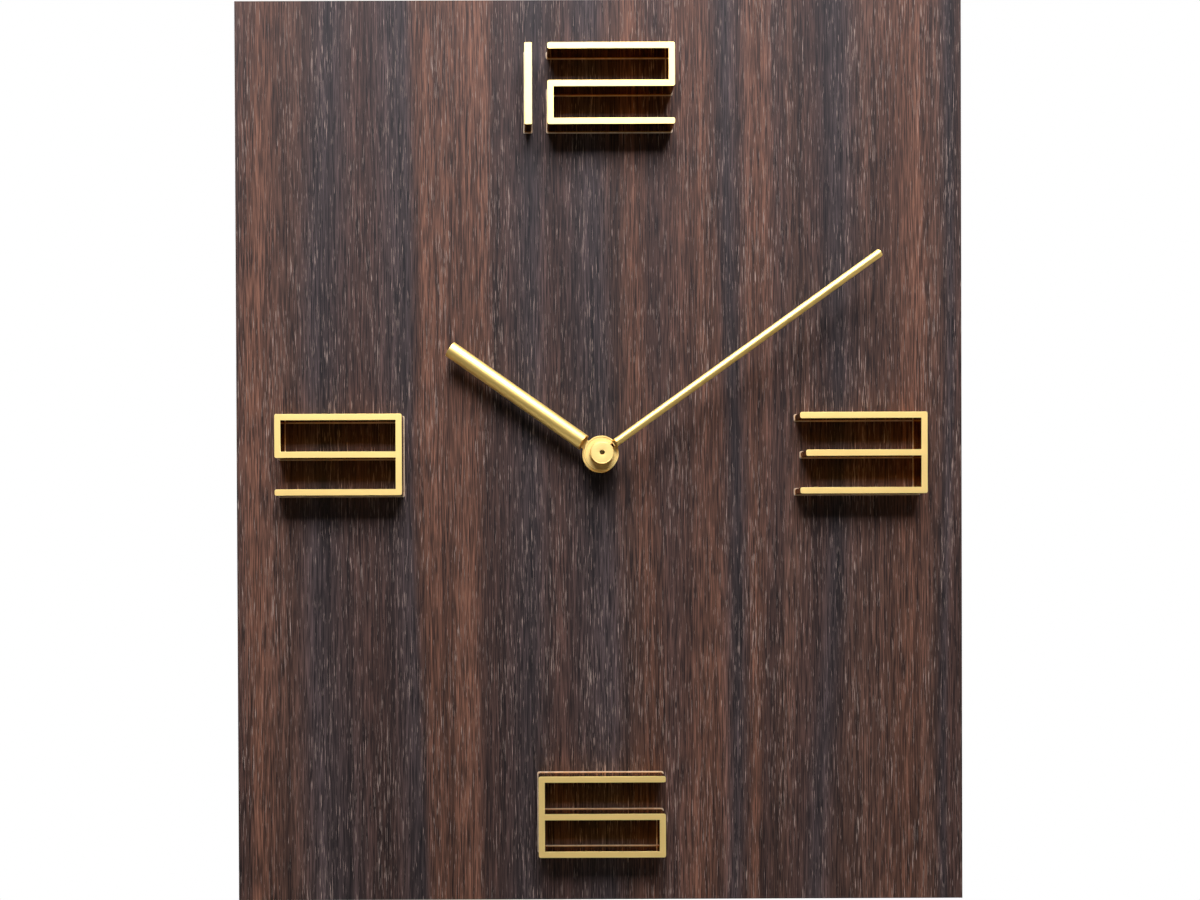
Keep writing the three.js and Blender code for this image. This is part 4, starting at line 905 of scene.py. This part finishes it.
boardEdge = {"ease": 0.25, "flatFrom": 100}
boardNames = {
    "front_veneer": "frontSheet", "edge_band_left": "leftBand", "edge_band_right": "rightBand",
    "edge_band_top": "topBand", "edge_band_bottom": "bottomBand",
}


# The sheet's outer front edges are eased, and the bands are shown as they are
def easeBoard():
    for node, name in boardNames.items():
        bm = copyNode(node)
        if node == "front_veneer":
            softenEdges(bm, boardEdge["ease"], mesh["edgeAngle"], lambda edge: liesAt(edge, 1, faceY) and any(
                liesAt(edge, axis, side[axis]) for axis in (0, 2) for side in (boardLow, boardHigh)))
        showPiece(name, bm, [nodeFinish[node]], "clock_body", [node],
                  flatFrom=boardEdge["flatFrom"])


# Back: hanger plate, pads, screws, rear case and setting knob

hanging = {"plateEase": 0.25, "plateFlatFrom": 8, "padRadius": 6, "padBack": -1.45, "padEdge": 0.5,
           "padCrown": 0.04, "padBackRound": 0.1, "padSideRound": 0.3, "padFaceRound": 0.35, "padSteps": 48}
ribEase = 0.2


def boxMiddle(name):
    low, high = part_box(name)
    return (Vector(low) + Vector(high)) / 2


# A bar from one corner to the other, in millimetres, with eased edges
def makeRib(name, low, high):
    bm = bmesh.new()
    for vert in bmesh.ops.create_cube(bm, size=1)["verts"]:
        vert.co = Vector([((low[i] + high[i]) / 2 + vert.co[i] * (high[i] - low[i])) * mm for i in range(3)])
    bevelEdges(bm, list(bm.edges), ribEase)
    return meshFrom(name, bm)


# Where a pair starts, and how far apart its two pieces are
def pairPlaces(first, second):
    left, right = boxMiddle(first), boxMiddle(second)
    return {"Count": 2, "Start": (left.x, 0, left.z), "Offset": (right.x - left.x, 0, 0)}


def makePlate():
    bm = copyNode("hanger_plate")
    softenEdges(bm, hanging["plateEase"], mesh["plateAngle"])
    showPiece("hangerPlate", bm, ["steel"], "clock_body", ["hanger_plate"],
              flatFrom=hanging["plateFlatFrom"])


def makePads():
    h = hanging
    r, back = h["padRadius"], h["padBack"]
    pad = turn([(0, back, 0), (r, back, h["padBackRound"]), (r, back / 3, h["padSideRound"]),
                (r - h["padEdge"], -h["padCrown"], h["padFaceRound"]), (0, 0, 0)], Vector(), "felt",
               h["padSteps"])
    bm = bmesh.new()
    gather(bm, growMesh("repeat", pad, "felt", pairPlaces("wall_pad_left", "wall_pad_right")))
    showPiece("wallPads", bm, ["felt"], "clock_body", ["wall_pad_left", "wall_pad_right"])


screw = {"head": 3.1, "headRim": 0.15, "headRound": 0.08, "rimRound": 0.05, "seat": -0.05, "shank": 1.75,
         "neck": 0.1, "root": 1.35, "length": 11.95, "threadStart": 2.4, "pitch": 0.8, "threads": 10,
         "recessLong": 3.4, "recessWide": 0.62, "recessDeep": 1.0, "recessTurn": 28, "steps": 40}


def makeScrews():
    s = screw
    seat, pitch = s["seat"], s["pitch"]
    neck = seat - (s["head"] - s["shank"])
    points = [(0, seat, 0), (s["head"], seat, s["headRound"]),
              (s["head"], seat - s["headRim"], s["rimRound"]), (s["shank"], neck - s["neck"], s["neck"])]
    for i in range(s["threads"]):
        start = seat - s["threadStart"] - i * pitch
        points += [(s["root"], start, 0), (s["shank"], start - pitch / 2, 0)]
    points += [(s["root"], start - pitch, 0), (0, seat - s["length"], 0)]
    blank = bmesh.new()
    gather(blank, turn(points, Vector(), "steel", s["steps"]))
    long, wide, deep = s["recessLong"] * mm, s["recessWide"] * mm, s["recessDeep"] * mm
    bm = bmesh.new()
    gather(bm, growMesh("screws", meshFrom("screwBlank", blank), "steel", {
        **pairPlaces("hanger_screw_left", "hanger_screw_right"),
        "Recess Long": (long, 2 * deep, wide), "Recess Wide": (wide, 2 * deep, long),
        "Recess Place": (0, seat * mm, 0), "Turn": (0, math.radians(s["recessTurn"]), 0),
    }), outwards=False)
    showPiece("hangerScrews", bm, ["steel"], "clock_body",
              ["hanger_screw_left", "hanger_screw_right"])


rearCase = {"back": -1.85, "ease": 0.3, "flatFrom": 3, "bead": 0.3, "beadSides": 10,
            "frameInset": 3.2, "frameCorner": 2, "frameSteps": 5, "frameBottom": -152.6,
            "markSize": 3.2, "markRise": 3.4, "plusX": 3.5, "minusX": -20.5,
            "ringRadius": 1.7, "ringInset": 3, "ringSteps": 24,
            "arcRadius": 8.3, "arcs": ((60, 100), (120, 160)), "arcSteps": 10,
            "ribs": 7, "ribLength": 15, "ribWidth": 0.9, "ribRise": 0.4, "ribPitch": 2.3, "ribX": -10,
            "ribDrop": 8}


def arcPoints(centre, radius, first, last, steps):
    angles = [math.radians(first + (last - first) * k / steps) for k in range(steps + 1)]
    return [centre + Vector((math.cos(a), 0, math.sin(a))) * radius for a in angles]


# The lines of the case's marks, each with whether it is closed
def casePaths(left, right, bottom, top, level):
    c = rearCase
    corner, size, steps = c["frameCorner"] * mm, c["markSize"] / 2 * mm, c["ringSteps"]
    outline = []
    for x, z, first in ((right - corner, top - corner, 0), (left + corner, top - corner, 90),
                        (left + corner, bottom + corner, 180), (right - corner, bottom + corner, 270)):
        outline += arcPoints(Vector((x, level, z)), corner, first, first + 90, c["frameSteps"])
    paths = [(outline, True)]
    wide, tall = Vector((size, 0, 0)), Vector((0, 0, size))
    for x, strokes in ((c["plusX"], (wide, tall)), (c["minusX"], (wide,))):
        middle = Vector((x * mm, level, bottom + c["markRise"] * mm))
        paths += [([middle - stroke, middle + stroke], False) for stroke in strokes]
    inset = c["ringInset"] * mm
    for x in (left + inset, right - inset):
        ring = arcPoints(Vector((x, level, top - inset)), c["ringRadius"] * mm, 0, 360 - 360 / steps,
                         steps - 1)
        paths.append((ring, True))
    knob = boxMiddle("setting_knob")
    for first, last in c["arcs"]:
        arc = arcPoints(Vector((knob.x, level, knob.z)), c["arcRadius"] * mm, first, last, c["arcSteps"])
        paths.append((arc, False))
    return paths


def makeRearCase():
    c = rearCase
    low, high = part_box("movement_rear_case")
    level, inset = c["back"] * mm, c["frameInset"] * mm
    top = high[2] - inset
    points, edges = [], []
    for spots, closed in casePaths(low[0] + inset, high[0] - inset, c["frameBottom"] * mm, top, level):
        base = len(points)
        points += spots
        edges += [(base + i, base + i + 1) for i in range(len(spots) - 1)]
        if closed:
            edges.append((base + len(spots) - 1, base))
    bm = bmesh.new()
    gather(bm, growMesh("beads", pathMesh("caseMarks", points, edges), "black", {
        "Wire": c["bead"] * mm, "Sides": c["beadSides"],
    }))
    half, wide, rise = c["ribLength"] / 2, c["ribWidth"] / 2, c["ribRise"]
    rib = makeRib("caseRib", (-half, -rise, -wide), (half, rise, wide))
    gather(bm, growMesh("repeat", rib, "black", {
        "Count": c["ribs"], "Start": (c["ribX"] * mm, level, top - c["ribDrop"] * mm),
        "Offset": (0, 0, -c["ribPitch"] * mm),
    }))
    showPiece("rearCaseMarks", bm, ["black"], "clock_body")
    bm = copyNode("movement_rear_case")
    softenEdges(bm, c["ease"], mesh["plateAngle"], lambda edge: liesAt(edge, 1, level))
    showPiece("rearCase", bm, ["black"], "clock_body", ["movement_rear_case"],
              flatFrom=c["flatFrom"])


knobGrip = {"ribs": 12, "from": 2.0, "to": 4.5, "width": 0.8, "rise": 0.28, "cap": 1.3, "capRound": 0.15,
            "capSteps": 32}


def makeKnobGrip():
    k = knobGrip
    middle = boxMiddle("setting_knob")
    centre = Vector((middle.x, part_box("setting_knob")[1][1], middle.z))
    rise, half = k["rise"], k["width"] / 2
    bm = bmesh.new()
    rib = makeRib("knobRib", (k["from"], -rise, -half), (k["to"], rise, half))
    gather(bm, growMesh("repeat", rib, "black", {
        "Count": k["ribs"], "Start": centre, "Turn": (0, 2 * math.pi / k["ribs"], 0),
    }))
    cap = [(0, rise, 0), (k["cap"], rise, k["capRound"]), (k["cap"], -rise, 0), (0, -rise, 0)]
    gather(bm, turn(cap, centre, "black", k["capSteps"]))
    showPiece("knobGrip", bm, ["black"], "knob")


# Cell: a can with a nub, in a sleeve that folds over both ends

cell = {"radius": 7.1, "can": 6.86, "half": 25.25, "shoulder": 24.05, "nub": 2.65, "steps": 64,
        "footInset": 1.5, "footRound": 0.25, "stepInset": 1.1, "stepRise": 0.4, "stepRound": 0.1,
        "wallRound": 0.2, "shoulderDrop": 0.2, "shoulderRound": 0.3, "nubFoot": 0.8, "nubFootRise": 0.3,
        "nubFootRound": 0.15, "nubSideRound": 0.1, "nubRound": 0.35,
        "rimInset": 0.9, "sleeveStart": 0.1, "sleeveEnd": 0.3, "sleeveFold": 0.15, "sleeveGap": 0.04,
        "sleeveFootRound": 0.4, "sleeveTopRound": 0.45}


def makeCell():
    c = cell
    middle = boxMiddle("battery_cell")
    r, half, shoulder, nub = c["can"], c["half"], c["shoulder"], c["nub"]
    step = c["stepRise"] - half
    can = [(0, -half, 0), (r - c["footInset"], -half, c["footRound"]),
           (r - c["stepInset"], step, c["stepRound"]), (r, step, c["wallRound"]),
           (r, shoulder - c["shoulderDrop"], c["shoulderRound"]),
           (nub + c["nubFoot"], shoulder, c["nubFootRound"]),
           (nub, shoulder + c["nubFootRise"], c["nubSideRound"]), (nub, half, c["nubRound"]), (0, half, 0)]
    rim, inside = r - c["rimInset"], r + c["sleeveGap"]
    start, end, fold = c["sleeveStart"] - half, c["sleeveEnd"] - half, shoulder - c["sleeveFold"]
    jacket = [(rim, start, 0), (c["radius"], start, c["sleeveFootRound"]),
              (c["radius"], shoulder, c["sleeveTopRound"]), (rim, shoulder, 0), (rim, fold, 0),
              (inside, fold, 0), (inside, end, 0), (rim, end, 0)]
    bm = bmesh.new()
    gather(bm, turn(can, middle, "steel", c["steps"], axes=widthAxes))
    gather(bm, turn(jacket, middle, "jacket", c["steps"], True, widthAxes), 1)
    showPiece("cellBody", bm, ["steel", "jacket"], "cell", ["battery_cell"])


# Coil: one layer of turns over a plain tube of copper

coil = {"radius": 3.9, "bore": 2.25, "length": 13.3, "wire": 0.16, "turns": 41.0, "steps": 20, "sides": 6,
        "coreDip": 1.3, "coreSteps": 40}


def makeCoil():
    c = coil
    middle = boxMiddle("coil_winding")
    bm = bmesh.new()
    wire, inner, half = c["wire"], c["bore"], c["length"] / 2
    outer = c["radius"] - c["coreDip"] * wire
    core = [(inner, -half, 0), (outer, -half, 0), (outer, half, 0), (inner, half, 0)]
    gather(bm, turn(core, middle, "copper", c["coreSteps"], True, widthAxes))
    gather(bm, growMesh("winding", pathMesh("none", [(0, 0, 0)]), "copper", {
        "Turns": c["turns"], "Steps": c["steps"], "Radius": (c["radius"] - wire) * mm,
        "Length": (c["length"] - 2 * wire) * mm, "Wire": wire * mm, "Sides": c["sides"], "Centre": middle,
    }))
    showPiece("coilTurns", bm, ["copper"], "clock_body", ["coil_winding"])


easeBoard()
makePlate()
makePads()
makeScrews()
makeRearCase()
makeKnobGrip()
makeCell()
makeCoil()
print("back and coil made")


# Floor: far below the clock, fading out so that its edge never shows

studioFloor = {"drop": 1.1, "size": 5, "clear": 0.7, "fade": 1.5, "roughness": 0.8, "cloud": 3,
               "tones": [(0.3, (226, 225, 222)), (0.7, (234, 233, 230))]}


def makeFloor():
    f = studioFloor
    material, tree, shader = startMaterial("paleFloor", {"Roughness": f["roughness"]})
    paint(tree, shader, ramp(tree, cloud(tree, f["cloud"]), f["tones"]))
    flat = addVector(tree, "MULTIPLY", objectPlace(tree), (1, 1, 0))
    away = addNode(tree, "ShaderNodeVectorMath", {0: flat}, operation="LENGTH").outputs["Value"]
    tree.links.new(addRange(tree, away, f["clear"], f["fade"], 1, 0), shader.inputs["Alpha"])
    half = f["size"] / 2
    bm = bmesh.new()
    bm.faces.new([bm.verts.new((x * half, y * half, boardLow.z - f["drop"]))
                  for x, y in ((-1, -1), (1, -1), (1, 1), (-1, 1))])
    made = meshFrom("studioFloor", bm)
    made.materials.append(material)
    floor = bpy.data.objects.new("studioFloor", made)
    bpy.context.collection.objects.link(floor)


placeLights()
makeRoom()
makeFloor()
print("studio set")
